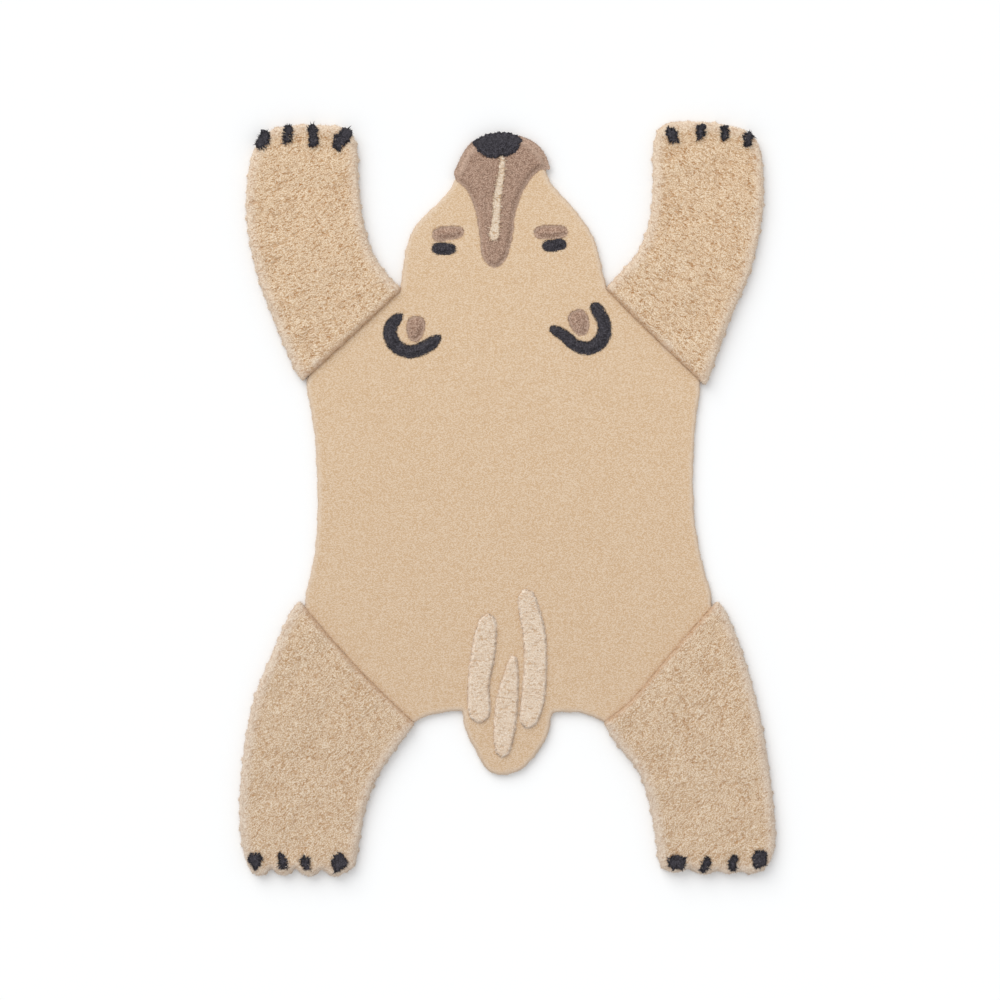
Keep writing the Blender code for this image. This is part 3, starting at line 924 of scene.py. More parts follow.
class SharedGroups:
    """The shader node groups that more than one finish uses.

    A range says where a reading begins to count and where it counts in full.
    """

    LINE_RANGE = (0.08, 0.01)
    BROKEN_RANGE = (0.5, 0.6)
    TIP_HIGHLIGHT_RANGE = (0.5, 0.66)
    SPECK_RANGE = (0.42, 0.58)
    PATCH = 110 * MM
    PATCH_RANGE = (0.4, 0.7)
    ROW = 7 * MM
    ROW_RANGE = (0.35, 0.65)
    ROW_SQUASH = (0.1, 1.0, 1.0)
    TAIL_SHADE_RANGE = (0.75, -0.75)

    def __init__(self) -> None:
        """Build the groups."""
        self.strokes = self.build_strokes()
        self.speckle = self.build_speckle()
        self.tone = self.build_tone_and_shade()

    @staticmethod
    def start(
        name: str, inputs: dict[str, str], outputs: dict[str, str]
    ) -> tuple[Wiring, bpy.types.bpy_prop_collection, bpy.types.Node]:
        """Start a group.

        Args:
            name: Its name.
            inputs: The kind of each input.
            outputs: The kind of each output.

        Returns:
            Its wiring, its input sockets, and its output node.
        """
        tree = bpy.data.node_groups.new(name, "ShaderNodeTree")
        for socket, kind in inputs.items():
            tree.interface.new_socket(socket, in_out="INPUT", socket_type="NodeSocket" + kind)
        for socket, kind in outputs.items():
            tree.interface.new_socket(socket, in_out="OUTPUT", socket_type="NodeSocket" + kind)
        entry = tree.nodes.new("NodeGroupInput")
        return Wiring(tree), entry.outputs, tree.nodes.new("NodeGroupOutput")

    @staticmethod
    def cells(wiring: Wiring, entry: bpy.types.bpy_prop_collection) -> bpy.types.NodeSocket:
        """The lie, counted in lengths of a stroke or speck along the rows and in widths of it across them."""
        across = wiring.math("DIVIDE", 1.0, entry["Width"])
        along = wiring.math("DIVIDE", across, entry["Stretch"])
        steps = wiring.add("CombineXYZ", {0: along, 1: across, 2: across}).outputs[0]
        return wiring.add("VectorMath", {0: entry["Lie"], 1: steps}, operation="MULTIPLY").outputs[0]

    def build_strokes(self) -> bpy.types.NodeTree:
        """Yarn seen from above: short strokes that follow the rows, and short curved partings between them.
        The finishes paint the strokes' tips lighter as a painted highlight and the partings darker as painted
        shade.

        Returns:
            The group, with a height, a tip highlight mask and a parting shade mask from 0 to 1.
        """
        wiring, entry, result = self.start(
            "wool_strokes",
            {"Lie": "Vector", "Width": "Float", "Stretch": "Float", "Parted": "Float"},
            {"Height": "Float", "TipHighlight": "Float", "PartingShade": "Float"},
        )
        cells = self.cells(wiring, entry)
        inputs = {"Vector": cells, "Scale": 1.0, "Detail": 2.0, "Roughness": 0.6, "Distortion": 0.3}
        height = wiring.add("TexNoise", inputs).outputs["Fac"]
        winding = wiring.add("TexNoise", {"Vector": cells, "Scale": 0.75, "Detail": 1.0}).outputs["Fac"]
        from_middle = wiring.math("ABSOLUTE", wiring.math("SUBTRACT", winding, 0.5))
        line = wiring.spread(from_middle, *self.LINE_RANGE)
        inputs = {"Vector": cells, "W": 5.0, "Scale": 0.6, "Detail": 1.0}
        where = wiring.add("TexNoise", inputs, noise_dimensions="4D").outputs["Fac"]
        broken = wiring.math("MULTIPLY", line, wiring.spread(where, *self.BROKEN_RANGE))
        parting = wiring.math("MULTIPLY", broken, entry["Parted"])
        wiring.tree.links.new(wiring.math("SUBTRACT", height, parting), result.inputs["Height"])
        # The strokes' tops, which the finishes paint lighter as a painted highlight.
        wiring.tree.links.new(wiring.spread(height, *self.TIP_HIGHLIGHT_RANGE), result.inputs["TipHighlight"])
        # The partings as a mask, which the finishes darken as painted shade.
        wiring.tree.links.new(parting, result.inputs["PartingShade"])
        return wiring.tree

    def build_speckle(self) -> bpy.types.NodeTree:
        """Single fibres: fine light and dark specks.

        Returns:
            The group, with a speck value from 0 to 1.
        """
        wiring, entry, result = self.start(
            "wool_speckle", {"Lie": "Vector", "Width": "Float", "Stretch": "Float"}, {"Speck": "Float"}
        )
        cells = self.cells(wiring, entry)
        fine = wiring.add("TexNoise", {"Vector": cells, "Scale": 1.0, "Detail": 1.0}).outputs["Fac"]
        wiring.tree.links.new(wiring.spread(fine, *self.SPECK_RANGE), result.inputs["Speck"])
        return wiring.tree

    def build_tone_and_shade(self) -> bpy.types.NodeTree:
        """Broad soft patches where the pile lies one way or another, faint tufting rows, and painted shade
        from nose to tail.

        Returns:
            The group, with patch, row and tail shade values from 0 to 1. The tail shade grows from nose to
            tail and darkens the colours as painted shade, as if the light fell off.
        """
        wiring, entry, result = self.start(
            "wool_tone_and_shade",
            {"Vector": "Vector", "Lie": "Vector"},
            {"Patch": "Float", "Row": "Float", "TailShade": "Float"},
        )
        inputs = {"Vector": entry["Vector"], "Scale": 1 / self.PATCH, "Detail": 3.0}
        patch = wiring.add("TexNoise", inputs).outputs["Fac"]
        wiring.tree.links.new(wiring.spread(patch, *self.PATCH_RANGE), result.inputs["Patch"])
        inputs = {0: entry["Lie"], 1: self.ROW_SQUASH}
        stretched = wiring.add("VectorMath", inputs, operation="MULTIPLY").outputs[0]
        inputs = {"Vector": stretched, "Scale": 1 / self.ROW, "Detail": 2.0}
        row = wiring.add("TexNoise", inputs).outputs["Fac"]
        wiring.tree.links.new(wiring.spread(row, *self.ROW_RANGE), result.inputs["Row"])
        along = wiring.add("SeparateXYZ", {0: entry["Vector"]}).outputs["Y"]
        wiring.tree.links.new(wiring.spread(along, *self.TAIL_SHADE_RANGE), result.inputs["TailShade"])
        return wiring.tree


@dataclass(frozen=True)
class WoolFinish:
    """Matt wool pile. Colours are linear, and lengths in metres.

    Attributes:
        yarn: The yarn that it is the finish of.
        body: The colour of the pile.
        light: The colour of the lighter yarn ends and specks, and of the painted highlight on the strokes'
            tips.
        dark: The colour of the darker yarn ends.
        deep: The painted shade down in the gaps, the partings and the creases and along the seams.
        pale_and_lit: The colour at an edge: partly paler yarn, partly painted light on the shaded slopes.
        warm: The colour of the warmer patches.
        tail_painted_shade: What all colours are multiplied by at the tail's end, as painted shade for light
            that falls off from nose to tail.
        stroke: The width of the yarn's strokes.
        stretch: How much longer than wide the strokes are.
        speck: The width of the specks.
        speck_stretch: How much longer than wide the specks are.
        tip_highlight_share: How much lighter the strokes' tips are, as a painted highlight.
        parting_share: How strongly the short partings show, sunk in the bump and darkened with painted shade.
        tone_share: How much the yarn ends differ in tone.
        speck_share: How much the specks show.
        row_share: How much the tufting rows show.
        patch_share: How much the patches show.
        pale_and_lit_share: How much paler an edge is, partly as painted light.
        gap_shade_share: How much of the painted shade in the gaps shows.
        bump: How high the strokes stand out.
        sheen: How much the fibres' fuzz catches the light.
    """

    EDGE_CALM = 0.4
    TAIL_CALM = 0.25
    TONE_FULL = 0.9

    yarn: Yarn
    body: Colour
    light: Colour
    dark: Colour
    deep: Colour
    pale_and_lit: Colour
    warm: Colour
    tail_painted_shade: Colour = (0.92, 0.93, 0.95)
    stroke: float = 3.0 * MM
    stretch: float = 1.2
    speck: float = 1.7 * MM
    speck_stretch: float = 1.0
    tip_highlight_share: float = 0.3
    parting_share: float = 0.7
    tone_share: float = 0.25
    speck_share: float = 0.7
    row_share: float = 0.0
    patch_share: float = 0.4
    pale_and_lit_share: float = 0.5
    gap_shade_share: float = 0.6
    bump: float = 1.0 * MM
    sheen: float = 0.2

    def material(self, groups: SharedGroups) -> bpy.types.Material:
        """Build the material.

        Args:
            groups: The shared node groups.

        Returns:
            The material.
        """
        material = bpy.data.materials.new(self.yarn.value)
        material.use_nodes = True
        wiring = Wiring(material.node_tree)
        shader = material.node_tree.nodes["Principled BSDF"]
        place = wiring.add("TexCoord").outputs["Object"]
        lie = wiring.add("Attribute", attribute_name=Mark.LIE.value).outputs["Vector"]
        gap, edge, tone = (
            wiring.add("Attribute", attribute_name=mark.value).outputs["Fac"]
            for mark in (Mark.GAP, Mark.EDGE, Mark.TONE)
        )
        inputs = {"Lie": lie, "Width": self.stroke, "Stretch": self.stretch}
        strokes = wiring.add("Group", inputs, node_tree=groups.strokes)
        inputs = {"Lie": lie, "Width": self.speck, "Stretch": self.speck_stretch}
        speckle = wiring.add("Group", inputs, node_tree=groups.speckle)
        broad = wiring.add("Group", {"Vector": place, "Lie": lie}, node_tree=groups.tone)
        tail = broad.outputs["TailShade"]
        inner = wiring.math("SUBTRACT", 1.0, wiring.math("MULTIPLY", edge, self.EDGE_CALM))
        fore = wiring.math("SUBTRACT", 1.0, wiring.math("MULTIPLY", tail, self.TAIL_CALM))
        parted = wiring.math("MULTIPLY", wiring.math("MULTIPLY", inner, fore), self.parting_share)
        wiring.tree.links.new(parted, strokes.inputs["Parted"])

        layers = (
            (broad.outputs["Patch"], self.patch_share, self.warm),
            (broad.outputs["Row"], self.row_share, self.dark),
            # Painted highlight on the tops of the strokes.
            (strokes.outputs["TipHighlight"], self.tip_highlight_share, self.light),
            (wiring.spread(tone, 0.0, self.TONE_FULL), self.tone_share, self.light),
            (wiring.spread(tone, 0.0, -self.TONE_FULL), self.tone_share, self.dark),
            (speckle.outputs["Speck"], self.speck_share, self.light),
            (wiring.math("SUBTRACT", 1.0, speckle.outputs["Speck"]), self.speck_share, self.dark),
            # Paler edges: partly paler yarn, partly painted light that lifts their shaded slopes.
            (edge, self.pale_and_lit_share, self.pale_and_lit),
            # Painted shade in the short partings between the strokes.
            (strokes.outputs["PartingShade"], 1.0, self.deep),
            # Painted shade in the gaps between the clumps and along the seams.
            (gap, self.gap_shade_share, self.deep),
        )
        colour = self.body
        for mask, share, other in layers:
            if share:
                colour = wiring.mix(wiring.math("MULTIPLY", mask, share), colour, other)
        # Painted shade: all colours darken from nose to tail, as if the light fell off.
        colour = wiring.mix(tail, colour, self.tail_painted_shade, "MULTIPLY")
        wiring.tree.links.new(colour, shader.inputs["Base Color"])
        inputs = {"Height": strokes.outputs["Height"], "Strength": 1.0, "Distance": self.bump}
        bump = wiring.add("Bump", inputs)
        wiring.tree.links.new(bump.outputs["Normal"], shader.inputs["Normal"])
        shader.inputs["Roughness"].default_value = 0.95
        shader.inputs["Specular IOR Level"].default_value = 0.12
        shader.inputs["Sheen Weight"].default_value = self.sheen
        shader.inputs["Sheen Roughness"].default_value = 0.6
        shader.inputs["Sheen Tint"].default_value = (*self.pale_and_lit, 1)
        return material


@dataclass(frozen=True)
class CanvasFinish:
    """The woven canvas of the underside: over and under threads, in a plain undyed cotton colour."""

    thread: float = 1.6 * MM
    light: Colour = (0.55, 0.48, 0.38)
    shade: Colour = (0.30, 0.25, 0.19)

    def material(self) -> bpy.types.Material:
        """Build the material.

        Returns:
            The material.
        """
        material = bpy.data.materials.new("backing_canvas")
        material.use_nodes = True
        wiring = Wiring(material.node_tree)
        shader = material.node_tree.nodes["Principled BSDF"]
        place = wiring.add("TexCoord").outputs["Object"]
        waves = []
        for direction in ("X", "Y"):
            inputs = {"Vector": place, "Scale": 0.5 / self.thread, "Distortion": 0.4}
            wave = wiring.add("TexWave", inputs, wave_type="BANDS", bands_direction=direction)
            waves.append(wave.outputs["Fac"])
        weave = wiring.math("MAXIMUM", *waves)
        slub = wiring.add("TexNoise", {"Vector": place, "Scale": 1 / (9 * MM), "Detail": 3.0}).outputs["Fac"]
        colour = wiring.mix(weave, self.shade, self.light)
        colour = wiring.mix(wiring.spread(slub, 0.45, 0.7), colour, self.light)
        wiring.tree.links.new(colour, shader.inputs["Base Color"])
        bump = wiring.add("Bump", {"Height": weave, "Strength": 0.8, "Distance": 0.5 * MM})
        wiring.tree.links.new(bump.outputs["Normal"], shader.inputs["Normal"])
        shader.inputs["Roughness"].default_value = 0.9
        return material


FINISHES = (
    WoolFinish(
        Yarn.SAND,
        body=(0.690, 0.508, 0.334),
        light=(0.750, 0.595, 0.440),
        dark=(0.575, 0.380, 0.215),
        deep=(0.520, 0.310, 0.150),
        pale_and_lit=(0.720, 0.610, 0.500),
        warm=(0.655, 0.465, 0.290),
        tail_painted_shade=(0.880, 0.880, 0.900),
        stretch=1.6,
        tip_highlight_share=0.15,
        parting_share=0.0,
        tone_share=0.1,
        speck=1.35 * MM,
        speck_stretch=1.8,
        speck_share=0.70,
        row_share=0.22,
        gap_shade_share=0.2,
        bump=0.3 * MM,
        sheen=0.1,
    ),
    WoolFinish(
        Yarn.SHAG,
        body=(0.693, 0.510, 0.334),
        light=(0.830, 0.692, 0.525),
        dark=(0.552, 0.358, 0.202),
        deep=(0.430, 0.200, 0.066),
        pale_and_lit=(0.750, 0.655, 0.560),
        warm=(0.655, 0.435, 0.250),
        tail_painted_shade=(0.875, 0.892, 0.932),
        stroke=2.1 * MM,
        stretch=2.4,
        tip_highlight_share=0.25,
        parting_share=0.95,
        speck_stretch=1.3,
        speck_share=0.82,
        patch_share=0.38,
        gap_shade_share=0.55,
        bump=0.45 * MM,
        sheen=0.15,
    ),
    WoolFinish(
        Yarn.TAUPE,
        body=(0.418, 0.265, 0.190),
        light=(0.535, 0.377, 0.292),
        dark=(0.275, 0.168, 0.117),
        deep=(0.200, 0.115, 0.075),
        pale_and_lit=(0.560, 0.415, 0.325),
        warm=(0.380, 0.240, 0.170),
        speck_share=0.95,
        parting_share=0.5,
        gap_shade_share=0.4,
    ),
    WoolFinish(
        Yarn.CREAM,
        body=(0.695, 0.560, 0.422),
        light=(0.770, 0.668, 0.556),
        dark=(0.600, 0.445, 0.306),
        deep=(0.520, 0.325, 0.175),
        pale_and_lit=(0.840, 0.740, 0.630),
        warm=(0.665, 0.525, 0.386),
        tail_painted_shade=(1.0, 1.0, 1.02),
        stretch=2.6,
        parting_share=0.9,
        speck_stretch=1.4,
        speck_share=0.75,
        patch_share=0.2,
        gap_shade_share=0.4,
        bump=0.6 * MM,
        sheen=0.1,
    ),
    WoolFinish(
        Yarn.INK,
        body=(0.048, 0.044, 0.051),
        light=(0.094, 0.088, 0.104),
        dark=(0.026, 0.024, 0.028),
        deep=(0.014, 0.013, 0.015),
        pale_and_lit=(0.060, 0.056, 0.064),
        warm=(0.042, 0.038, 0.043),
        tail_painted_shade=(0.93, 0.92, 0.92),
        sheen=0.08,
    ),
)


@dataclass
class SubAssembly:
    """Pieces that are tufted alike."""

    made: list[Pile] = field(default_factory=list, init=False)

    def piles(self) -> list[Pile]:
        """The piles that it is made of."""
        raise NotImplementedError

    def prepare(self, outline: Outline) -> None:
        """Make the fine meshes and add to the rug's outline.

        Args:
            outline: The rug's outline.
        """
        self.made = self.piles()
        for pile in self.made:
            pile.prepare()
            if pile.carrier:
                outline.inlays[pile.name] = pile.ring
            else:
                outline.rings[pile.name] = pile.ring

    def build(self, outline: Outline) -> None:
        """Build the pieces.

        Args:
            outline: The rug's outline.
        """
        for pile in self.made:
            pile.build(outline)

    def dress(self, wools: dict[Yarn, bpy.types.Material], canvas: bpy.types.Material) -> None:
        """Give the pieces their finishes.

        Args:
            wools: The material of each yarn.
            canvas: The material of the underside.
        """
        for pile in self.made:
            pile.dress(wools, canvas)


GROUND_TOP = 13 * MM
MUZZLE_TOP = 18.5 * MM
SHAG_TOP = 23 * MM
SIDES = ("left", "right")


@dataclass
class Ground(SubAssembly):
    """The short dense pile of head, body and tail."""

    grain: float = 3.0 * MM
    relief: Relief = Relief(
        tuft=5.5 * MM, depth=0.3 * MM, stretch=1.5, stray=1.5 * MM, swell=0.25 * MM, swell_width=30 * MM,
        fray=1.6 * MM, fray_width=16 * MM,
    )
    dents: tuple[Dent, ...] = (Dent((0.002, -0.4985), depth=3 * MM, reach=11 * MM),)
    ends: tuple[LooseEnds, ...] = (
        LooseEnds(count=3500, length=3.6 * MM, width=1.0 * MM, spot=Spot.FREE_EDGE, lift=0.1),
        LooseEnds(count=3000, length=4.2 * MM, width=1.2 * MM, lift=0.5, sunk=0.3, from_height=10.5 * MM),
        LooseEnds(count=2500, length=3.4 * MM, width=1.1 * MM, spot=Spot.TOP, along=0.9, stray=0.9, lift=0.2),
    )

    def piles(self) -> list[Pile]:
        """The pile that it is made of."""
        return [
            Pile(
                "ground", "body_pile", Yarn.SAND, self.relief, self.grain, self.ends, seed=11, smooth=1,
                shoulder=GROUND_TOP - 0.3 * MM, rim_shade=0.9, dents=self.dents,
            )
        ]


@dataclass
class Legs(SubAssembly):
    """The four legs of high shag, with another lie of the rows on each."""

    grain: float = 1.72 * MM
    tuft: float = 4.2 * MM
    depth: float = 0.22 * MM
    headings: dict[str, float] = field(
        default_factory=lambda: {
            "fore_left": 20.0, "fore_right": -28.0, "hind_left": 40.0, "hind_right": 40.0,
        }
    )
    creases: dict[str, float] = field(
        default_factory=lambda: {
            "fore_left": 1.2 * MM, "fore_right": 0.9 * MM, "hind_left": 0.3 * MM, "hind_right": 0.9 * MM,
        }
    )
    dents: dict[str, tuple[Dent, ...]] = field(
        default_factory=lambda: {
            "hind_left": (
                Dent((-0.4400, -0.6900)), Dent((-0.3955, -0.6890)), Dent((-0.3460, -0.6930)),
                Dent((-0.2980, -0.7010), depth=9 * MM, reach=24 * MM),
            ),
            "hind_right": (
                Dent((0.3385, -0.6860), depth=3 * MM), Dent((0.3905, -0.6915), depth=2.5 * MM),
                Dent((0.4900, -0.6860), depth=6 * MM, reach=24 * MM),
                Dent((0.2890, -0.6930), depth=4 * MM, reach=18 * MM),
            ),
        }
    )
    ends: tuple[LooseEnds, ...] = (
        LooseEnds(count=3500, length=5 * MM, width=1.1 * MM, lift=0.1),
        LooseEnds(
            count=8500, length=3.6 * MM, width=1.1 * MM, spot=Spot.TOP, along=0.9, stray=0.5, lift=0.25,
        ),
    )
    fore_locks: LooseEnds = LooseEnds(
        count=90, length=8 * MM, width=2.5 * MM, spot=Spot.ROUND_INLAYS, stray=0.35, lift=0.6, sunk=0.2,
        from_height=18 * MM,
    )
    hind_locks: LooseEnds = LooseEnds(
        count=75, length=6.5 * MM, width=2.4 * MM, spot=Spot.ROUND_INLAYS, stray=0.35, lift=0.6, sunk=0.2,
        from_height=18 * MM,
    )

    def piles(self) -> list[Pile]:
        """The piles that it is made of."""
        made = []
        for number, (leg, heading) in enumerate(self.headings.items()):
            relief = Relief(
                tuft=self.tuft, depth=self.depth, stretch=1.7, heading=heading, stray=1.4 * MM,
                curl=0.25 * MM, pit=0.2 * MM, crease=self.creases[leg], crease_gap=8 * MM,
                crease_stretch=3.5, creased=-0.05, fray=0.8 * MM, fray_width=8 * MM, teeth=0.5 * MM,
            )
            locks = self.fore_locks if leg.startswith("fore") else self.hind_locks
            made.append(
                Pile(
                    "leg_" + leg, "shag_" + leg, Yarn.SHAG, relief, self.grain, (*self.ends, locks),
                    seed=31 + 7 * number, smooth=6, smooth_walls=12, spread=1.8 * MM, spread_from=2 * MM,
                    edge_reach=22 * MM, seam_reach=16 * MM, rim_shade=0.8, rim_shade_reach=8 * MM,
                    dents=self.dents.get(leg, ()),
                )
            )
        return made


@dataclass
class Snout(SubAssembly):
    """The muzzle, with the nose and the bridge stripe let into it."""

    grain: float = 1.6 * MM
    relief: Relief = Relief(tuft=4.4 * MM, depth=0.9 * MM, stretch=1.2, stray=1.5 * MM, curl=0.5 * MM)
    ragged: Relief = Relief(
        tuft=4.4 * MM, depth=1.0 * MM, stray=1.5 * MM, curl=1.0 * MM, fray=2.2 * MM, fray_width=6 * MM,
        teeth=1.2 * MM,
    )
    notch: Dent = Dent((-0.0125, 0.632), depth=7 * MM, reach=11 * MM)
    muzzle_ends: tuple[LooseEnds, ...] = (
        LooseEnds(count=1300, length=3.6 * MM, width=1.1 * MM, lift=0.4, from_height=7 * MM),
        flat_ends(1700),
        LooseEnds(
            count=90, length=6 * MM, width=1.8 * MM, spot=Spot.ROUND_INLAYS, stray=0.4, lift=0.4, sunk=0.2,
            from_height=11 * MM,
        ),
    )
    nose_ends: tuple[LooseEnds, ...] = (
        LooseEnds(count=170, length=4.2 * MM, width=1.2 * MM, lift=0.5, tone=0.0, from_height=8 * MM),
        flat_ends(300),
    )
    stripe_ends: tuple[LooseEnds, ...] = (
        LooseEnds(
            count=60, length=9 * MM, width=4 * MM, lift=0.4, stray=0.3, sunk=0.3, tone=0.0,
            from_height=1 * MM,
        ),
        LooseEnds(count=200, length=4.0 * MM, width=1.1 * MM, lift=0.3, tone=0.0, from_height=1 * MM),
    )

    def piles(self) -> list[Pile]:
        """The piles that it is made of."""
        return [
            Pile(
                "muzzle", "muzzle_pile", Yarn.TAUPE, self.relief, self.grain, self.muzzle_ends,
                carrier="ground", seed=61, spread=1.6 * MM, spread_from=GROUND_TOP - 2 * MM,
                held_at=GROUND_TOP, feather=10 * MM, rim_reach=5 * MM,
            ),
            Pile(
                "nose", "nose_pile", Yarn.INK, self.ragged, self.grain, self.nose_ends,
                carrier="ground", seed=62, spread=1.4 * MM, spread_from=MUZZLE_TOP - 2 * MM,
                held_at=MUZZLE_TOP, feather=4 * MM, dents=(self.notch,),
            ),
            Pile(
                "bridge_stripe", "bridge_stripe_pile", Yarn.CREAM, self.ragged, 1.35 * MM,
                self.stripe_ends, carrier="ground", seed=63, bare_to=7 * MM, spread=1.4 * MM,
                spread_from=MUZZLE_TOP - 2 * MM, dents=(self.notch,),
            ),
        ]


@dataclass
class Patches(SubAssembly):
    """Brows, eyes and the middles and rims of the ears."""

    grain: float = 1.5 * MM
    relief: Relief = Relief(
        tuft=4.4 * MM, depth=0.8 * MM, stretch=1.2, stray=1.5 * MM, curl=0.5 * MM, fray=0.8 * MM,
    )
    bare_to: float = 6.5 * MM
    feather: float = 10 * MM
    small: tuple[LooseEnds, ...] = (
        LooseEnds(
            count=150, length=3.6 * MM, width=1.2 * MM, lift=0.5, sunk=0.3, tone=0.9, from_height=1 * MM,
        ),
        flat_ends(120, length=3.2 * MM),
    )
    large: tuple[LooseEnds, ...] = (
        LooseEnds(count=900, length=3.6 * MM, width=1.1 * MM, lift=0.5, sunk=0.3, from_height=1 * MM),
        flat_ends(250, length=3.2 * MM),
    )

    def piles(self) -> list[Pile]:
        """The piles that it is made of."""
        kinds = (
            ("brow", Yarn.TAUPE, self.small),
            ("eye", Yarn.INK, self.small),
            ("ear_rim", Yarn.INK, self.large),
            ("ear_inner", Yarn.TAUPE, self.small),
        )
        return [
            Pile(
                f"{kind}_{side}", f"{kind}_{side}_pile", yarn, self.relief, self.grain, ends,
                carrier="ground", seed=64 + 3 * number, bare_to=self.bare_to, spread=1.5 * MM,
                spread_from=GROUND_TOP - 2 * MM, held_at=GROUND_TOP, feather=self.feather,
                rim_reach=2.5 * MM,
            )
            for number, ((kind, yarn, ends), side) in enumerate(itertools.product(kinds, SIDES))
        ]


@dataclass
class Streaks(SubAssembly):
    """The three puffy cream strips on rump and tail, crinkled across their length."""

    grain: float = 1.55 * MM
    relief: Relief = Relief(
        tuft=4.6 * MM, depth=0.5 * MM, stretch=2.0, stray=2 * MM, curl=0.4 * MM, crease=0.8 * MM,
        crease_gap=7 * MM, crease_stretch=2.4, creased=0.2, fray=1.5 * MM, teeth=0.6 * MM,
    )
    ends: tuple[LooseEnds, ...] = (
        LooseEnds(count=700, length=3.6 * MM, width=1.1 * MM, lift=0.5, sunk=0.3, from_height=1 * MM),
        flat_ends(450, stray=0.6),
    )

    def piles(self) -> list[Pile]:
        """The piles that it is made of."""
        return [
            Pile(
                f"streak_{place}", f"streak_{place}_pile", Yarn.CREAM, self.relief, self.grain, self.ends,
                carrier="ground", seed=81 + number, bare_to=6.5 * MM, spread=2.2 * MM,
                spread_from=GROUND_TOP - 2 * MM, held_at=GROUND_TOP, feather=1.5 * MM, rim_reach=4 * MM,
            )
            for number, place in enumerate(("left", "middle", "right"))
        ]


@dataclass
class Claws(SubAssembly):
    """The dark tufts at the toes, four on each paw."""

    grain: float = 1.55 * MM
    toes: int = 4
    relief: Relief = Relief(
        tuft=4.6 * MM, depth=1.2 * MM, stray=2 * MM, curl=1.6 * MM, fray=5.0 * MM, fray_width=8 * MM,
        teeth=2.8 * MM,
    )
    ends: tuple[LooseEnds, ...] = (
        LooseEnds(
            count=26, length=13 * MM, width=4.4 * MM, lift=0.15, stray=0.4, tone=0.0, from_height=8.8 * MM,
        ),
        LooseEnds(count=110, length=7.5 * MM, width=1.6 * MM, lift=0.1, tone=0.0, from_height=8.3 * MM),
        flat_ends(60, length=3.6 * MM),
    )

    def piles(self) -> list[Pile]:
        """The piles that it is made of."""
        paws = [f"{end}_{side}" for end in ("fore", "hind") for side in SIDES]
        made = []
        for paw, toe in itertools.product(paws, range(1, self.toes + 1)):
            node = f"claw_{paw}_{toe}"
            made.append(
                Pile(
                    node, node + "_tuft", Yarn.INK, self.relief, self.grain, self.ends, carrier="leg_" + paw,
                    seed=91 + len(made), bare_to=9 * MM, spread=-0.8 * MM, spread_from=SHAG_TOP - 4 * MM,
                )
            )
        return made


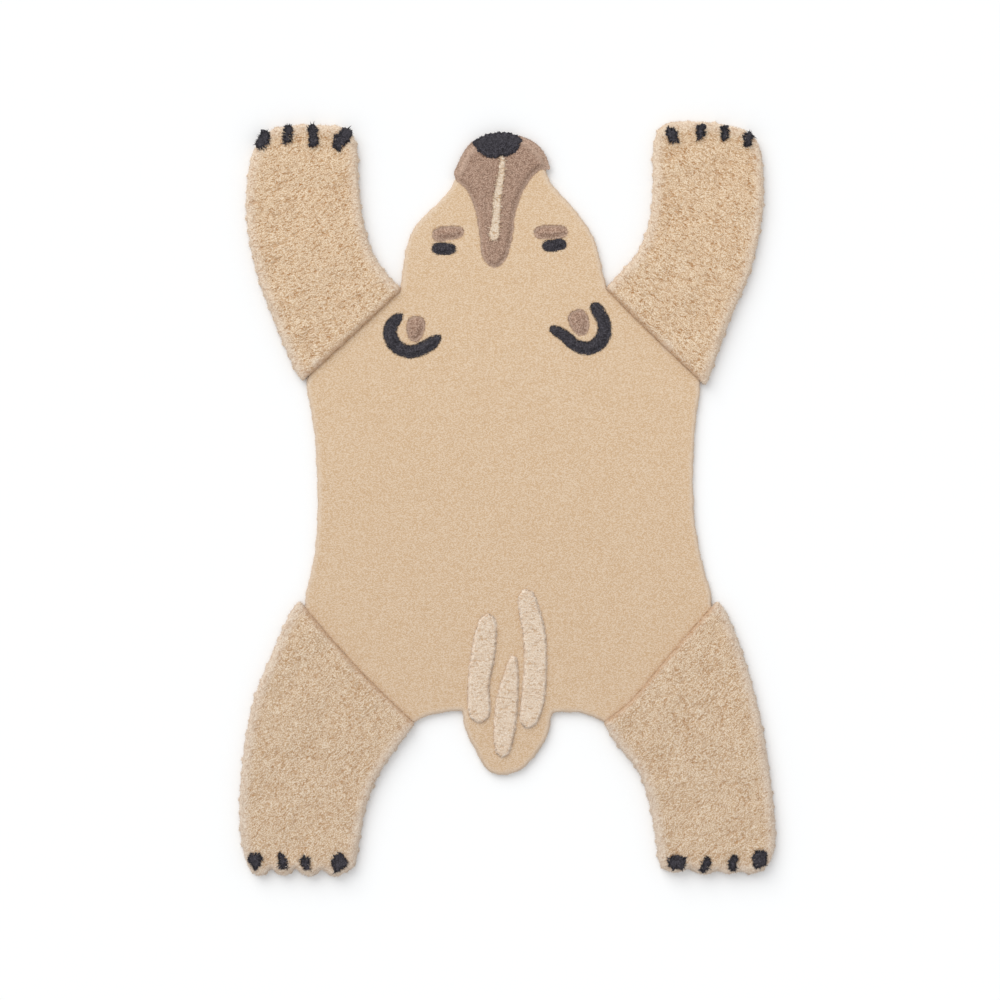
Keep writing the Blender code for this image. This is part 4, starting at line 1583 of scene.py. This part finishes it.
@dataclass(frozen=True)
class Studio:
    """A white floor, soft light from above the nose and a little left, and a camera straight above.

    Attributes:
        floor_half: Half the floor's width.
        floor_drop: How far it lies below the rug, so that the two don't meet.
        floor_white: Its colour.
        view_width: How much of the floor the picture is wide.
        view_centre: What the camera looks at.
        camera_height: How high it hangs.
        sensor: The width of its sensor in millimetres.
        key_strength: The strength of the key light.
        key_colour: Its colour.
        key_width: How wide it is as an angle.
        key_from: The direction that it comes from.
        sky_strength: The strength of the light from all round.
        sky_colour: Its colour.
    """

    floor_half: float = 30.0
    floor_drop: float = 0.2 * MM
    floor_white: Colour = (0.90, 0.90, 0.90)
    view_width: float = 1.858
    view_centre: tuple[float, float] = (-0.0145, -0.0007)
    camera_height: float = 9.0
    sensor: float = 36.0
    key_strength: float = 1.68
    key_colour: Colour = (1.0, 0.985, 0.96)
    key_width: float = math.radians(50)
    key_from: tuple[float, float, float] = (-0.39, 0.66, 0.643)
    sky_strength: float = 0.80
    sky_colour: Colour = (0.96, 0.98, 1.0)

    def build(self) -> None:
        """Build floor, lights and camera."""
        self.build_floor()
        self.build_lights()
        self.build_camera()

    def build_floor(self) -> None:
        """Lay the floor."""
        shape = bmesh.new()
        bmesh.ops.create_grid(shape, x_segments=1, y_segments=1, size=self.floor_half)
        bmesh.ops.translate(shape, verts=shape.verts, vec=(0, 0, -self.floor_drop))
        mesh = bpy.data.meshes.new("studio_floor")
        shape.to_mesh(mesh)
        shape.free()
        material = bpy.data.materials.new("studio_white")
        material.use_nodes = True
        shader = material.node_tree.nodes["Principled BSDF"]
        shader.inputs["Base Color"].default_value = (*self.floor_white, 1)
        shader.inputs["Roughness"].default_value = 1.0
        shader.inputs["Specular IOR Level"].default_value = 0.0
        mesh.materials.append(material)
        floor = bpy.data.objects.new("studio_floor", mesh)
        bpy.context.scene.collection.objects.link(floor)

    def build_lights(self) -> None:
        """Hang the soft key light and light the surroundings."""
        lamp = bpy.data.lights.new("key_light", "SUN")
        lamp.energy = self.key_strength
        lamp.color = self.key_colour
        lamp.angle = self.key_width
        key = bpy.data.objects.new("key_light", lamp)
        key.rotation_euler = Vector(self.key_from).to_track_quat("Z", "Y").to_euler()
        bpy.context.scene.collection.objects.link(key)
        world = bpy.data.worlds.new("studio_sky")
        world.use_nodes = True
        background = world.node_tree.nodes["Background"]
        background.inputs["Color"].default_value = (*self.sky_colour, 1)
        background.inputs["Strength"].default_value = self.sky_strength
        bpy.context.scene.world = world
        bpy.context.scene.view_settings.view_transform = "Standard"

    def build_camera(self) -> None:
        """Hang the camera straight above the rug, with +Y at the top of its picture."""
        lens = bpy.data.cameras.new("camera")
        lens.sensor_width = self.sensor
        lens.lens = self.sensor * self.camera_height / self.view_width
        lens.clip_end = 100
        camera = bpy.data.objects.new("camera", lens)
        camera.location = (*self.view_centre, self.camera_height)
        bpy.context.scene.collection.objects.link(camera)
        bpy.context.scene.camera = camera


def main() -> None:
    """Build the rug's pieces, dress them and set the studio."""
    logging.basicConfig(level=logging.INFO, format="%(message)s")
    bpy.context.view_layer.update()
    Studio().build()
    groups = SharedGroups()
    wools = {finish.yarn: finish.material(groups) for finish in FINISHES}
    canvas = CanvasFinish().material()

    outline = Outline()
    parts = (Ground(), Legs(), Snout(), Patches(), Streaks(), Claws())
    for part in parts:
        part.prepare(outline)
    outline.join()
    for part in parts:
        part.build(outline)
        part.dress(wools, canvas)
    piles = [pile for part in parts for pile in part.made]
    for pile in piles:
        if not pile.carrier:
            pile.declare(piles)


if __name__ == "__main__":
    main()
